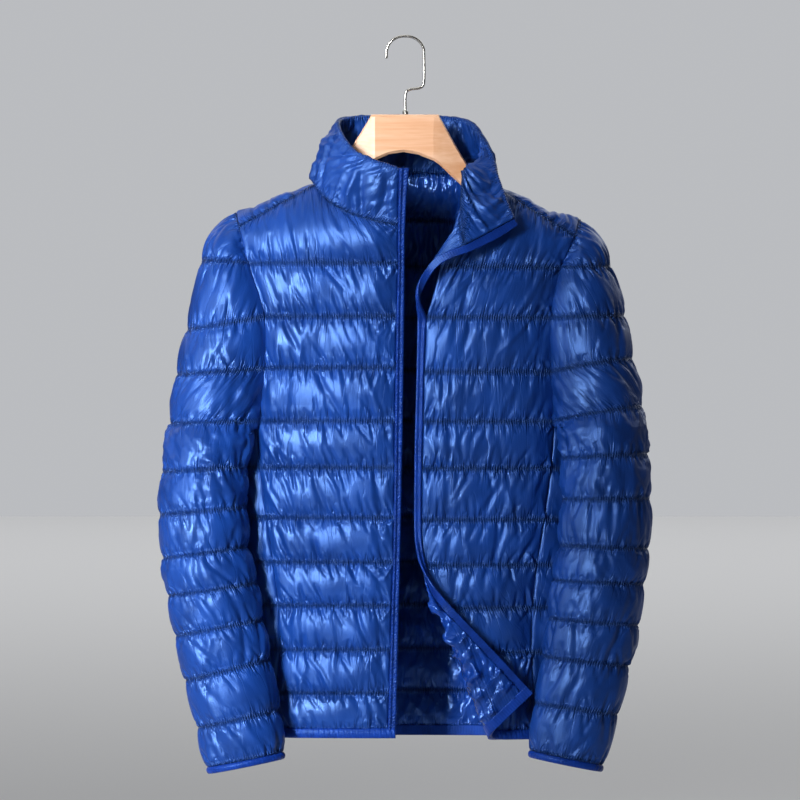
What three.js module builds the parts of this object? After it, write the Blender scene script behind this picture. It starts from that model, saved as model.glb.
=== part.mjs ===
import * as THREE from "three";

// A quilted puffer jacket on its hanger, in millimetres.
// +X is the viewer's right, +Z is up, -Y is towards the viewer, and the origin is where the hook hangs.

// Wall thicknesses and gaps.
const STITCH_WALL = 3;
const PUFF_WALL = 13;
const SLEEVE_PUFF = 11;
const COLLAR_PUFF = 9;
const NECK_CORNER_WALL = 1.1;
const SEAM_GAP = 0.25;
const LINING_GAP = 0.35;
const LINING_WALL = 1.2;
const SHOULDER_ROWS = 5;
const CHANNEL_ROWS = 3;
const CHANNEL_STEPS = [1 / 3, 2 / 3, 1];
const SLEEVE_COLUMNS = 16;

// Body quilt lines: heights at each side, armhole or side seam x, front edge x, half width, depths.
const BODY_KEYS = ["zl", "zr", "sl", "sr", "bl", "br", "el", "er", "half", "front", "back"];
const BODY = [
  [-275.2, -280.6, -192, 190, -194, 194, -9, 43, 212, 60, 52],
  [-340.4, -341.6, -172, 178, -187, 187, -11, 26, 210, 66, 57],
  [-402.6, -407.5, -172, 179, -189, 189, -12, 23, 208, 69, 60],
  [-467.3, -467.7, -179, 181, 0, 0, -13, 22, 207, 71, 62],
  [-523.4, -524.6, -176, 176, 0, 0, -13.5, 20.5, 207, 72, 63],
  [-584.4, -586.8, -168, 168, 0, 0, -14, 20, 206, 72, 63],
  [-638.1, -641.7, -160, 159, 0, 0, -15, 20, 205, 72, 62],
  [-690.5, -693.7, -153, 153, 0, 0, -17, 20, 202, 72, 61],
  [-744.2, -747.9, -152, 152, 0, 0, -18.5, 20.5, 199, 71, 60],
  [-796.7, -797.9, -155, 155, 0, 0, -20, 21, 196, 70, 59],
  [-841.0, -843.0, -155, 155, 0, 0, -21.5, 22, 192, 69, 57],
].map((row) => Object.fromEntries(BODY_KEYS.map((key, i) => [key, row[i]])));
const SECTION_POWER = 2.4;

// Shoulder points of each armhole: the front seam end, the ridge and the upper back quilt line.
const SHOULDER = {
  left: { seam: [-202, -22, -231], ridge: [-206, 2, -214], upper: [-201, 22, -238] },
  right: { seam: [206, -24, -243], ridge: [212, 2, -222], upper: [204, 22, -244] },
};
// Underarm sweep of the back panel: x and depth side (front is negative) at the steps below the third line.
const UNDERARM = [
  { x: 203, front: false },
  { x: 202, front: true },
];
// Yoke seam and ridge at the neck, and the neckline round the back and down the left front.
const YOKE_COLUMNS = 4;
const NECK_SIDE = { left: [-111, -13, -181], right: [111, -13, -184] };
const NECK_BACK = [
  [-104, 10, -169], [-86, 29, -166], [-60, 42, -164.5], [-31, 48, -163.5], [0, 50, -163.5],
  [31, 48, -163.5], [60, 42, -164.5], [86, 29, -166.5], [104, 10, -171],
];
const NECK_FRONT_LEFT = [[-93, -36, -200], [-66, -50, -215], [-38, -57, -223.5], [-9, -60, -229]];
const ROLL_MIDDLE = [98, -33, -193];
const ROLL_TOP = [66, -57, -209];

// Collar top edge over each neckline column, from the left front end to the turned right end.
const COLLAR_TOP = [
  [-8, -66, -160], [-36, -61, -150.5], [-60, -49, -138], [-75, -31, -119], [-81, -8, -102],
  [-77, 12, -97], [-64, 27, -94.5], [-44, 36, -93.5], [-22, 40, -93], [0, 41, -93],
  [22, 40, -93], [44, 36, -94], [65, 28, -96.5], [81, 14, -102],
  [94, -4, -121], [107, -20, -150], [117, -38, -182], [124, -50, -201], [132.4, -60, -220.9],
];
const COLLAR_TURN_BASE = [[101, -38, -191], [85, -62, -202], [70.5, -79, -226], [71.5, -83, -254.3]];

// Sleeve rings under the armhole, one row for each quilt line: heights, outer and inner x, centre y, half depth.
const SLEEVE = {
  left: [
    { zo: -272, zi: -275, xo: -245, xi: -170, yc: 0, hd: 42 },
    { zo: -357, zi: -345, xo: -262, xi: -176, yc: -6, hd: 55 },
    { zo: -411, zi: -406, xo: -274, xi: -180, yc: -14, hd: 60 },
    { zo: -471, zi: -467, xo: -282, xi: -184, yc: -28, hd: 60 },
    { zo: -529.5, zi: -522, xo: -291, xi: -194, yc: -46, hd: 56 },
    { zo: -580.7, zi: -571, xo: -294, xi: -195, yc: -56, hd: 52 },
    { zo: -633, zi: -620, xo: -290, xi: -195, yc: -62, hd: 49 },
    { zo: -678, zi: -664, xo: -283, xi: -184, yc: -70, hd: 44 },
    { zo: -726, zi: -708, xo: -274, xi: -178, yc: -76, hd: 40 },
    { zo: -779.6, zi: -756, xo: -262, xi: -170, yc: -80, hd: 36 },
    { zo: -836.9, zi: -817, xo: -247, xi: -158, yc: -84, hd: 32 },
    { zo: -884.5, zi: -867, xo: -236, xi: -151, yc: -86, hd: 28 },
  ],
  right: [
    { zo: -280, zi: -281, xo: 247, xi: 172, yc: 0, hd: 42 },
    { zo: -340, zi: -341, xo: 263, xi: 179, yc: -6, hd: 55 },
    { zo: -392, zi: -400, xo: 273, xi: 184, yc: -14, hd: 60 },
    { zo: -450, zi: -460, xo: 284, xi: 187, yc: -28, hd: 60 },
    { zo: -507, zi: -512, xo: 290, xi: 191, yc: -44, hd: 56 },
    { zo: -561, zi: -562, xo: 293, xi: 192, yc: -55, hd: 52 },
    { zo: -621.6, zi: -618, xo: 290, xi: 190, yc: -62, hd: 49 },
    { zo: -664, zi: -660, xo: 285, xi: 183, yc: -69, hd: 45 },
    { zo: -713.7, zi: -706, xo: 278, xi: 178, yc: -75, hd: 41 },
    { zo: -762.5, zi: -752, xo: 266, xi: 171, yc: -80, hd: 37 },
    { zo: -821, zi: -808, xo: 253, xi: 161, yc: -84, hd: 32 },
    { zo: -882, zi: -865, xo: 235, xi: 154, yc: -86, hd: 28 },
  ],
};
const BODY_CLEARANCE = 27.5;
const UNDERARM_CLEARANCE = [9, 13, 13, 16, 18, 20];
const UNDERARM_WALL = 5;
const ARMHOLE_ANGLE = 0.95;
const UNDERARM_ANGLE = 0.6;

// Turned-out front corner: a cylinder bend along a slanting line in the front plane.
const BEND = { x: 35.5, z: -650, dirX: 0.375, dirZ: -0.927, radius: 13.5 };
const BEND_COLUMNS = 7;

// Zip tapes: width, and the outer edge of each, from the top down.
const TAPE_WIDTH = 9;
const TAPE_WALL = 3.4;
const TAPE_LEFT = [
  [5, -162], [1.5, -196], [-0.7, -244], [-1, -320], [-3, -466],
  [-5.7, -612], [-8.5, -722], [-11, -832], [-13, -853],
];
const TAPE_RIGHT_FLAT = [
  [14.5, -352], [13.5, -406], [11, -500], [10.5, -588], [10.5, -690], [11, -790], [12.5, -853],
];
const TAPE_LAPEL = [
  [137, -62, -229], [118, -69, -242], [97, -79, -253], [76, -85, -262.5], [54.5, -86, -270], [41, -85, -278],
  [32, -83, -288], [22, -79, -306], [15.5, -73, -324],
];
const LAPEL_INSET = [
  [132.4, -60, -220.9], [112.1, -67.667, -232.033], [91.8, -75.333, -243.167], [71.5, -83, -254.3],
  [50.5, -84, -262], [35, -83, -271], [25.6, -82, -282], [16.5, -84, -301], [18, -81.5, -322],
];
const FACING = [
  [[65.5, -77, -224], [71.5, -83, -254.3]],
  [[55, -78, -240], [50.5, -84, -262]],
  [[44, -78, -256], [35, -83, -271]],
  [[35, -78, -271], [25.6, -82, -282]],
];

// Binding strips at the hem and the cuffs.
const HEM_DEPTH = 10.5;
const CUFF_DEPTH = 8.5;
const BINDING_WALL = 5;

// Hanger: wire diameter, hook path, and the wooden body's stations.
const WIRE = 3.5;
const HOOK_PATH = [
  [-23.1, -24.8], [-22.4, -14], [-18, -5.5], [-10, 0.2], [0, 1.8], [10, 0], [18, -5.5], [22, -13],
  [22.7, -22], [22.7, -52], [21.6, -58.4], [17.5, -61.2], [6, -63], [1.6, -65.6], [0, -71], [0, -93.4],
];
const HOOK_Y = -12;
const FERRULE = { radius: 3.4, top: -88.5, bottom: -93.6 };
const WOOD = [
  { x: -176, top: -216, bottom: -235, y: 4, deep: 12 },
  { x: -150, top: -205, bottom: -229, y: 1, deep: 12 },
  { x: -112, top: -186, bottom: -211, y: -2, deep: 12 },
  { x: -86, top: -170, bottom: -197, y: -4, deep: 12 },
  { x: -66, top: -134.5, bottom: -176, y: -6, deep: 16 },
  { x: -41.2, top: -94.2, bottom: -153, y: -11, deep: 16 },
  { x: -37.2, top: -93.9, bottom: -149.8, y: -12, deep: 16 },
  { x: -20, top: -93.9, bottom: -142.2, y: -12, deep: 16 },
  { x: -2.4, top: -93.9, bottom: -139.6, y: -12, deep: 16 },
  { x: 16, top: -93.9, bottom: -142.6, y: -12, deep: 16 },
  { x: 34.3, top: -93.9, bottom: -150.1, y: -12, deep: 16 },
  { x: 40.5, top: -93.9, bottom: -154, y: -11, deep: 16 },
  { x: 64, top: -136, bottom: -176, y: -6, deep: 16 },
  { x: 86, top: -172, bottom: -198, y: -4, deep: 12 },
  { x: 112, top: -189, bottom: -213, y: -2, deep: 12 },
  { x: 150, top: -210, bottom: -233, y: 1, deep: 12 },
  { x: 176, top: -224, bottom: -242, y: 4, deep: 12 },
];

// Colours.
const SHELL_BLUE = 0x1d4fb5;
const LINING_BLUE = 0x0f2f86;
const TAPE_BLUE = 0x133a92;
const WOOD_TONE = 0xeec08f;
const STEEL_TONE = 0xbfc2c6;

const V = (p) => new THREE.Vector3(p[0], p[1], p[2]);
const mix = (a, b, t) => a + (b - a) * t;
const root = new THREE.Group();
root.name = "puffer_jacket";

// Body section at a height: half width and depths between the quilt lines.
function sectionAt(z) {
  const last = BODY.length - 1;
  let k = 0;
  while (k < last - 1 && z < (BODY[k + 1].zl + BODY[k + 1].zr) / 2) k += 1;
  const a = BODY[k];
  const b = BODY[k + 1];
  const za = (a.zl + a.zr) / 2;
  const zb = (b.zl + b.zr) / 2;
  const t = Math.min(1.3, Math.max(-1.2, (z - za) / (zb - za)));
  return { half: mix(a.half, b.half, t), front: mix(a.front, b.front, t), back: mix(a.back, b.back, t) };
}

// Depth of the body's front or back at x and z, with the section made bigger by extra.
function depthAt(x, z, front, extra = 0) {
  const s = sectionAt(z);
  const share = Math.min(1, Math.abs(x) / (s.half + extra));
  const bulge = (1 - share ** SECTION_POWER) ** (1 / SECTION_POWER);
  return front ? -(s.front + extra) * bulge : (s.back + extra) * bulge;
}

const onFront = (x, z) => new THREE.Vector3(x, depthAt(x, z, true), z);
const onBack = (x, z) => new THREE.Vector3(x, depthAt(x, z, false), z);

// A smooth curve through points, read at a share of each span.
function splineThrough(points, perSpan) {
  const curve = new THREE.CatmullRomCurve3(points, false, "centripetal");
  const out = [points[0].clone()];
  const spans = points.length - 1;
  for (let s = 0; s < spans; s += 1) {
    const n = Array.isArray(perSpan) ? perSpan[s] : perSpan;
    for (let i = 1; i <= n; i += 1) out.push(curve.getPoint((s + i / n) / spans));
  }
  return out;
}

// Values of a table at each row of the quilt grid between two of its rows.
function between(a, b, step, keys) {
  const out = {};
  for (const key of keys) out[key] = mix(a[key], b[key], step);
  return out;
}

// Armhole points of one side. Front: index 0 is the ridge. Back: index 0 is the ridge too.
function armhole(side) {
  const left = side === "left";
  const s = SHOULDER[side];
  const [zk, seamKey, backKey] = left ? ["zl", "sl", "bl"] : ["zr", "sr", "br"];
  const front = [V(s.ridge), V(s.seam)];
  const back = [V(s.ridge), V(s.upper)];
  for (let k = 0; k < 4; k += 1) front.push(onFront(BODY[k][seamKey], BODY[k][zk]));
  for (let k = 0; k < 3; k += 1) back.push(onBack(BODY[k][backKey], BODY[k][zk]));
  const f = splineThrough(front, [SHOULDER_ROWS, 3, 3, 3, 3]);
  const b = splineThrough(back, [SHOULDER_ROWS, 3, 3, 3]);
  UNDERARM.forEach((u, i) => {
    const z = mix(BODY[2][zk], BODY[3][zk], CHANNEL_STEPS[i]);
    const x = left ? -u.x : u.x;
    b.push(u.front ? onFront(x, z) : onBack(x, z));
  });
  b.push(f[f.length - 1].clone());
  return { front: f, back: b };
}
const ARMHOLE = { left: armhole("left"), right: armhole("right") };

// Wall thickness for each row of a channel: thin on the stitch lines, full between.
function channelWall(row, first, puff) {
  return (row - first) % CHANNEL_ROWS === 0 ? STITCH_WALL : puff;
}

// Slow uneven swell along a channel, by place.
const swell = (p) => 1 + 0.08 * Math.sin(p.x / 15 + p.z / 9) + 0.05 * Math.sin(p.x / 23 - p.z / 31 + 2);

// Thickness that grows from a seam over a distance.
const taper = (full, distance, over) => mix(STITCH_WALL, full, Math.sqrt(Math.min(1, distance / over)));

// Unit normals of a grid. turn is 1 or -1, and closed(i) says that a row joins up with itself.
function gridNormals(grid, turn, closed = () => false) {
  const rows = grid.length;
  const cols = grid[0].length;
  return grid.map((row, i) =>
    row.map((p, j) => {
      const up = grid[Math.max(0, i - 1)];
      const down = grid[Math.min(rows - 1, i + 1)];
      const joined = closed(i) && (j === 0 || j === cols - 1);
      const before = joined ? row[cols - 2] : row[Math.max(0, j - 1)];
      const after = joined ? row[1] : row[Math.min(cols - 1, j + 1)];
      const across = after.clone().sub(before);
      const along = down[j].clone().sub(up[j]);
      const n = across.cross(along).multiplyScalar(turn);
      return n.lengthSq() > 1e-9 ? n.normalize() : null;
    }),
  ).map((row, i, all) => row.map((n, j) => n || all[Math.min(rows - 1, i + 1)][j] || row[j === 0 ? 1 : j - 1]));
}

// Moves the points on chosen edges of a grid inwards by the seam gap.
function insetEdges(grid, edges, gap) {
  const rows = grid.length;
  const cols = grid[0].length;
  const moved = grid.map((row) => row.map((p) => p.clone()));
  const shift = (i, j, ti, tj) => {
    const d = grid[ti][tj].clone().sub(grid[i][j]);
    if (d.lengthSq() > 1e-6) moved[i][j].addScaledVector(d.normalize(), gap);
  };
  for (let i = 0; i < rows; i += 1) {
    if (edges.left && edges.left(i)) shift(i, 0, i, 1);
    if (edges.right && edges.right(i)) shift(i, cols - 1, i, cols - 2);
  }
  for (let j = 0; j < cols; j += 1) {
    if (edges.top) shift(0, j, 1, j);
    if (edges.bottom) shift(rows - 1, j, rows - 2, j);
  }
  return moved;
}

// Adds a mesh to the root from flat triangle corners, turned to face outwards.
function addSolid(name, corners, color, roughness, metalness = 0) {
  let volume = 0;
  for (let i = 0; i < corners.length; i += 3) {
    volume += corners[i].dot(corners[i + 1].clone().cross(corners[i + 2]));
  }
  const xyz = [];
  for (let i = 0; i < corners.length; i += 3) {
    const order = volume > 0 ? [0, 1, 2] : [0, 2, 1];
    for (const k of order) xyz.push(corners[i + k].x, corners[i + k].y, corners[i + k].z);
  }
  const geometry = new THREE.BufferGeometry();
  geometry.setAttribute("position", new THREE.Float32BufferAttribute(xyz, 3));
  geometry.computeVertexNormals();
  const material = new THREE.MeshStandardMaterial({ color, roughness, metalness });
  const mesh = new THREE.Mesh(geometry, material);
  mesh.name = name;
  root.add(mesh);
}

// Triangles between two grids, closed round their edges.
function wallCorners(inner, outer, openEdge = () => true) {
  const corners = [];
  const tri = (a, b, c) => {
    const thin = a.distanceTo(b) < 1e-4 || b.distanceTo(c) < 1e-4 || a.distanceTo(c) < 1e-4;
    if (!thin) corners.push(a, b, c);
  };
  const quad = (a, b, c, d) => {
    if (a.distanceTo(c) <= b.distanceTo(d)) {
      tri(a, b, c);
      tri(a, c, d);
    } else {
      tri(a, b, d);
      tri(b, c, d);
    }
  };
  const rows = inner.length - 1;
  const cols = inner[0].length - 1;
  for (let i = 0; i < rows; i += 1) {
    for (let j = 0; j < cols; j += 1) {
      quad(outer[i][j], outer[i + 1][j], outer[i + 1][j + 1], outer[i][j + 1]);
      quad(inner[i][j], inner[i][j + 1], inner[i + 1][j + 1], inner[i + 1][j]);
    }
    if (openEdge(i)) {
      quad(inner[i][0], inner[i + 1][0], outer[i + 1][0], outer[i][0]);
      quad(outer[i][cols], outer[i + 1][cols], inner[i + 1][cols], inner[i][cols]);
    }
  }
  for (let j = 0; j < cols; j += 1) {
    quad(inner[0][j], outer[0][j], outer[0][j + 1], inner[0][j + 1]);
    quad(outer[rows][j], inner[rows][j], inner[rows][j + 1], outer[rows][j + 1]);
  }
  return corners;
}

const offsetGrid = (grid, normals, amount) =>
  grid.map((row, i) => row.map((p, j) => p.clone().addScaledVector(normals[i][j], amount(i, j))));

// Pieces that meet at a seam share their edge normals there, so that their end walls stay parallel.
const seamSums = new Map();
const placeKey = (p) => [p.x, p.y, p.z].map((c) => c.toFixed(2)).join(" ");
function edgePlaces(grid) {
  const rows = grid.length - 1;
  const cols = grid[0].length - 1;
  const places = [];
  for (let i = 0; i <= rows; i += 1) {
    for (let j = 0; j <= cols; j += 1) {
      if (i === 0 || i === rows || j === 0 || j === cols) places.push([i, j]);
    }
  }
  return places;
}

// A quilted wall: plain inside on the grid, puffed outside, thin at the seams.
const planned = [];
function quiltWall(name, grid, turn, thickness, edges, options = {}) {
  const normals = options.normals || gridNormals(grid, turn, options.closed);
  if (options.fixNormals) options.fixNormals(normals);
  const piece = { name, grid, normals, thickness, edges, options };
  const seen = new Set();
  for (const [i, j] of edgePlaces(grid)) {
    const key = placeKey(grid[i][j]);
    if (seen.has(key)) continue;
    seen.add(key);
    if (!seamSums.has(key)) seamSums.set(key, new THREE.Vector3());
    seamSums.get(key).add(normals[i][j]);
  }
  planned.push(piece);
  return piece;
}
function finishWalls() {
  for (const piece of planned) {
    const { name, grid, normals, thickness, edges, options } = piece;
    for (const [i, j] of edgePlaces(grid)) {
      normals[i][j] = seamSums.get(placeKey(grid[i][j])).clone().normalize();
    }
    piece.base = insetEdges(grid, edges, options.gap || SEAM_GAP);
    const padInside = (i, j) => -options.innerWall(i, j);
    const inner = options.innerWall ? offsetGrid(piece.base, normals, padInside) : piece.base;
    piece.outer = offsetGrid(piece.base, normals, thickness);
    const corners = wallCorners(inner, piece.outer, options.openEdge);
    addSolid(name, corners, options.color || SHELL_BLUE, options.rough || 0.35);
  }
}

// Columns of the body's lower rows: one row for each step of each channel.
const LINE_ROWS = [];
for (let k = 0; k < BODY.length; k += 1) {
  if (k === 0) LINE_ROWS.push({ ...BODY[0] });
  else for (const t of CHANNEL_STEPS) LINE_ROWS.push(between(BODY[k - 1], BODY[k], t, Object.keys(BODY[0])));
}

// Left front panel.
const LEFT_COLUMNS = YOKE_COLUMNS + NECK_FRONT_LEFT.length;
function topRow(side, after, columns) {
  const seam = V(SHOULDER[side].seam);
  const neck = V(NECK_SIDE[side]);
  const row = [];
  for (let j = 0; j <= YOKE_COLUMNS; j += 1) row.push(seam.clone().lerp(neck, j / YOKE_COLUMNS));
  after.forEach((p) => row.push(p));
  if (row.length !== columns + 1) throw new Error("the top row of the " + side + " front has a wrong count");
  return row;
}
function spacedRow(xs, z) {
  return xs.map((x) => onFront(x, z));
}
function topPatch(top, bottom, edgePoints, bulge) {
  const rows = [top];
  for (let i = 1; i < CHANNEL_ROWS; i += 1) {
    const t = i / CHANNEL_ROWS;
    const row = top.map((p, j) => {
      const q = p.clone().lerp(bottom[j], t);
      q.y -= bulge * Math.sin(Math.PI * t) * Math.sin((Math.PI * j) / (top.length - 1));
      return q;
    });
    row[0] = edgePoints[i].clone();
    rows.push(row);
  }
  rows.push(bottom);
  return rows;
}
function leftFrontGrid() {
  const rows = LINE_ROWS.map((r, i) => {
    const xs = [];
    for (let j = 0; j <= LEFT_COLUMNS; j += 1) {
      const t = j / LEFT_COLUMNS;
      xs.push(mix(r.sl, r.el, t ** 1.15));
    }
    const row = spacedRow(xs, r.zl);
    if (i < 10) row[0] = ARMHOLE.left.front[SHOULDER_ROWS + 3 + i].clone();
    return row;
  });
  const top = topRow("left", NECK_FRONT_LEFT.map(V), LEFT_COLUMNS);
  const patch = topPatch(top, rows[0], ARMHOLE.left.front.slice(SHOULDER_ROWS), 9);
  return patch.slice(0, -1).concat(rows);
}

// Right front panel: its columns gather at the bend, and the corner past the bend is turned out.
const RIGHT_COLUMNS = 14;
const PLAIN_COLUMNS = 5;
function rightColumns(seam, edge, z) {
  const foot = BEND.x + (BEND.z - z) * (BEND.dirX / -BEND.dirZ);
  const start = Math.max(foot + 6, edge + 24);
  const end = Math.max(foot - 48, edge + 5);
  const xs = [];
  for (let j = 0; j <= RIGHT_COLUMNS; j += 1) {
    const far = PLAIN_COLUMNS + BEND_COLUMNS;
    if (j <= PLAIN_COLUMNS) xs.push(mix(seam, start, j / PLAIN_COLUMNS));
    else if (j <= far) xs.push(mix(start, end, (j - PLAIN_COLUMNS) / BEND_COLUMNS));
    else xs.push(mix(end, edge, (j - far) / (RIGHT_COLUMNS - far)));
  }
  return xs;
}
function rightFrontGrid() {
  const rows = LINE_ROWS.map((r, i) => {
    const row = spacedRow(rightColumns(r.sr, r.er, r.zr), r.zr);
    if (i < 10) row[0] = ARMHOLE.right.front[SHOULDER_ROWS + 3 + i].clone();
    return row;
  });
  const neck = V(NECK_SIDE.right);
  const roll = V(ROLL_TOP);
  const low = V(ROLL_MIDDLE);
  const curve = splineThrough([neck, low, roll], (RIGHT_COLUMNS - YOKE_COLUMNS) / 2).slice(1);
  const top = topRow("right", curve, RIGHT_COLUMNS);
  const patch = topPatch(top, rows[0], ARMHOLE.right.front.slice(SHOULDER_ROWS), 7);
  return patch.slice(0, -1).concat(rows);
}

// The bend: how far a point lies past the bend line, and where it goes with its normal.
const BEND_LENGTH = Math.hypot(BEND.dirX, BEND.dirZ);
const BEND_DIR = new THREE.Vector3(BEND.dirX / BEND_LENGTH, 0, BEND.dirZ / BEND_LENGTH);
const BEND_OUT = new THREE.Vector3(BEND_DIR.z, 0, -BEND_DIR.x);
function pastBend(p) {
  return (p.x - BEND.x) * BEND_OUT.x + (p.z - BEND.z) * BEND_OUT.z;
}
function bendPoint(p) {
  const s = pastBend(p);
  if (s <= 0) return p.clone();
  const foot = p.clone().addScaledVector(BEND_OUT, -s);
  foot.y = depthAt(foot.x, foot.z, true);
  const r = BEND.radius;
  const angle = Math.min(Math.PI, s / r);
  const rest = Math.max(0, s - Math.PI * r);
  const out = foot.clone().addScaledVector(BEND_OUT, r * Math.sin(angle) - rest);
  out.y -= r * (1 - Math.cos(angle));
  return out;
}
function bendNormal(p, n) {
  const s = pastBend(p);
  if (s <= 0) return n.clone();
  const angle = Math.min(Math.PI, s / BEND.radius);
  const flat = new THREE.Vector3(0, -1, 0);
  const from = n.clone().lerp(flat, Math.min(1, s / 8)).normalize();
  return from.applyAxisAngle(BEND_DIR, -angle);
}

// Back panel: over the shoulders to the yoke seams, round the sides to the side seams.
const ROUND_SHARE = 0.62;
const BACK_COLUMNS = 2 * YOKE_COLUMNS + NECK_BACK.length + 1;
function roundBack(from, to, z) {
  const fine = [];
  const steps = 160;
  const reach = (p, z0) => {
    const s = sectionAt(z0);
    const c = Math.min(1, Math.abs(p.x) / s.half) ** (SECTION_POWER / 2);
    const a = Math.acos(c);
    return p.y < 0 ? -a : a;
  };
  const a0 = Math.PI - reach(from, z(0));
  const a1 = reach(to, z(1));
  for (let k = 0; k <= steps; k += 1) {
    const t = k / steps;
    const a = mix(a0, a1, t);
    const s = sectionAt(z(t));
    const e = 2 / SECTION_POWER;
    const x = s.half * Math.sign(Math.cos(a)) * Math.abs(Math.cos(a)) ** e;
    const bulge = Math.abs(Math.sin(a)) ** e;
    const y = Math.sin(a) >= 0 ? s.back * bulge : -s.front * bulge;
    fine.push(new THREE.Vector3(x, y, z(t)));
  }
  const lengths = [0];
  for (let k = 1; k <= steps; k += 1) lengths.push(lengths[k - 1] + fine[k].distanceTo(fine[k - 1]));
  const row = [];
  for (let j = 0; j <= BACK_COLUMNS; j += 1) {
    const want = j / BACK_COLUMNS;
    const share = (k) => mix(k / steps, lengths[k] / lengths[steps], ROUND_SHARE);
    let k = 1;
    while (k < steps && share(k) < want) k += 1;
    const t = (want - share(k - 1)) / (share(k) - share(k - 1));
    row.push(fine[k - 1].clone().lerp(fine[k], t));
  }
  row[0] = from.clone();
  row[BACK_COLUMNS] = to.clone();
  return row;
}
function backGrid() {
  const L = ARMHOLE.left;
  const R = ARMHOLE.right;
  const rows = LINE_ROWS.map((r, i) => {
    const k = SHOULDER_ROWS + 3 + i;
    const from = i < 9 ? L.back[k] : onFront(r.sl, r.zl);
    const to = i < 9 ? R.back[k] : onFront(r.sr, r.zr);
    return roundBack(from, to, (t) => mix(from.z, to.z, t));
  });
  const neckLeft = V(NECK_SIDE.left);
  const neckRight = V(NECK_SIDE.right);
  const top = [];
  const leftSeam = V(SHOULDER.left.seam);
  const rightSeam = V(SHOULDER.right.seam);
  for (let j = 0; j <= YOKE_COLUMNS; j += 1) top.push(leftSeam.clone().lerp(neckLeft, j / YOKE_COLUMNS));
  NECK_BACK.forEach((p) => top.push(V(p)));
  for (let j = 0; j <= YOKE_COLUMNS; j += 1) top.push(neckRight.clone().lerp(rightSeam, j / YOKE_COLUMNS));
  const columns = top.map((p, j) => {
    const inYoke = Math.min(j, BACK_COLUMNS - j);
    const side = j < BACK_COLUMNS / 2 ? "left" : "right";
    const sign = side === "left" ? -1 : 1;
    const upperSide = V(SHOULDER[side].upper);
    const across = 2 * Math.abs(j / BACK_COLUMNS - 0.5);
    const upper = new THREE.Vector3(rows[0][j].x * 0.98, 0, mix(-222, upperSide.z, across ** 2));
    upper.y = mix(50, upperSide.y, across ** 3);
    if (inYoke === 0) upper.copy(upperSide);
    let ridge = p.clone().lerp(upper, 0.5);
    if (inYoke <= YOKE_COLUMNS) {
      const t = inYoke / YOKE_COLUMNS;
      const nearNeck = new THREE.Vector3(sign * 115, -1, p.z + (inYoke === YOKE_COLUMNS ? 1.6 : 7));
      ridge = V(SHOULDER[side].ridge).lerp(nearNeck, t);
    }
    return splineThrough([p, ridge, upper, rows[0][j]], [SHOULDER_ROWS, SHOULDER_ROWS, 3]);
  });
  const patch = [];
  const steps = 2 * SHOULDER_ROWS + 3;
  for (let i = 0; i < steps; i += 1) patch.push(columns.map((c) => c[i]));
  for (let i = 0; i < steps; i += 1) {
    const k = i <= SHOULDER_ROWS ? SHOULDER_ROWS - i : i - SHOULDER_ROWS;
    patch[i][0] = (i <= SHOULDER_ROWS ? L.front[k] : L.back[k]).clone();
    patch[i][BACK_COLUMNS] = (i <= SHOULDER_ROWS ? R.front[k] : R.back[k]).clone();
  }
  return patch.concat(rows);
}

// Moves a point out of the body's section made bigger by extra: sideways at the side, forwards in front.
function pushOffBody(p, extra, sideways) {
  const s = sectionAt(p.z);
  const sign = Math.sign(p.x);
  const side = sideways ? 0.9 : Math.min(1, Math.max(0, (p.y + 42) / 40));
  const inside = () => {
    const depth = p.y < 0 ? s.front : s.back;
    const a = Math.abs(p.x) / (s.half + extra);
    const b = Math.abs(p.y) / (depth + extra);
    return a ** SECTION_POWER + b ** SECTION_POWER < 1;
  };
  for (let k = 0; k < 120 && inside(); k += 1) {
    p.x += sign * side * 0.6;
    p.y -= (1 - side) * 0.6;
  }
}

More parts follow.
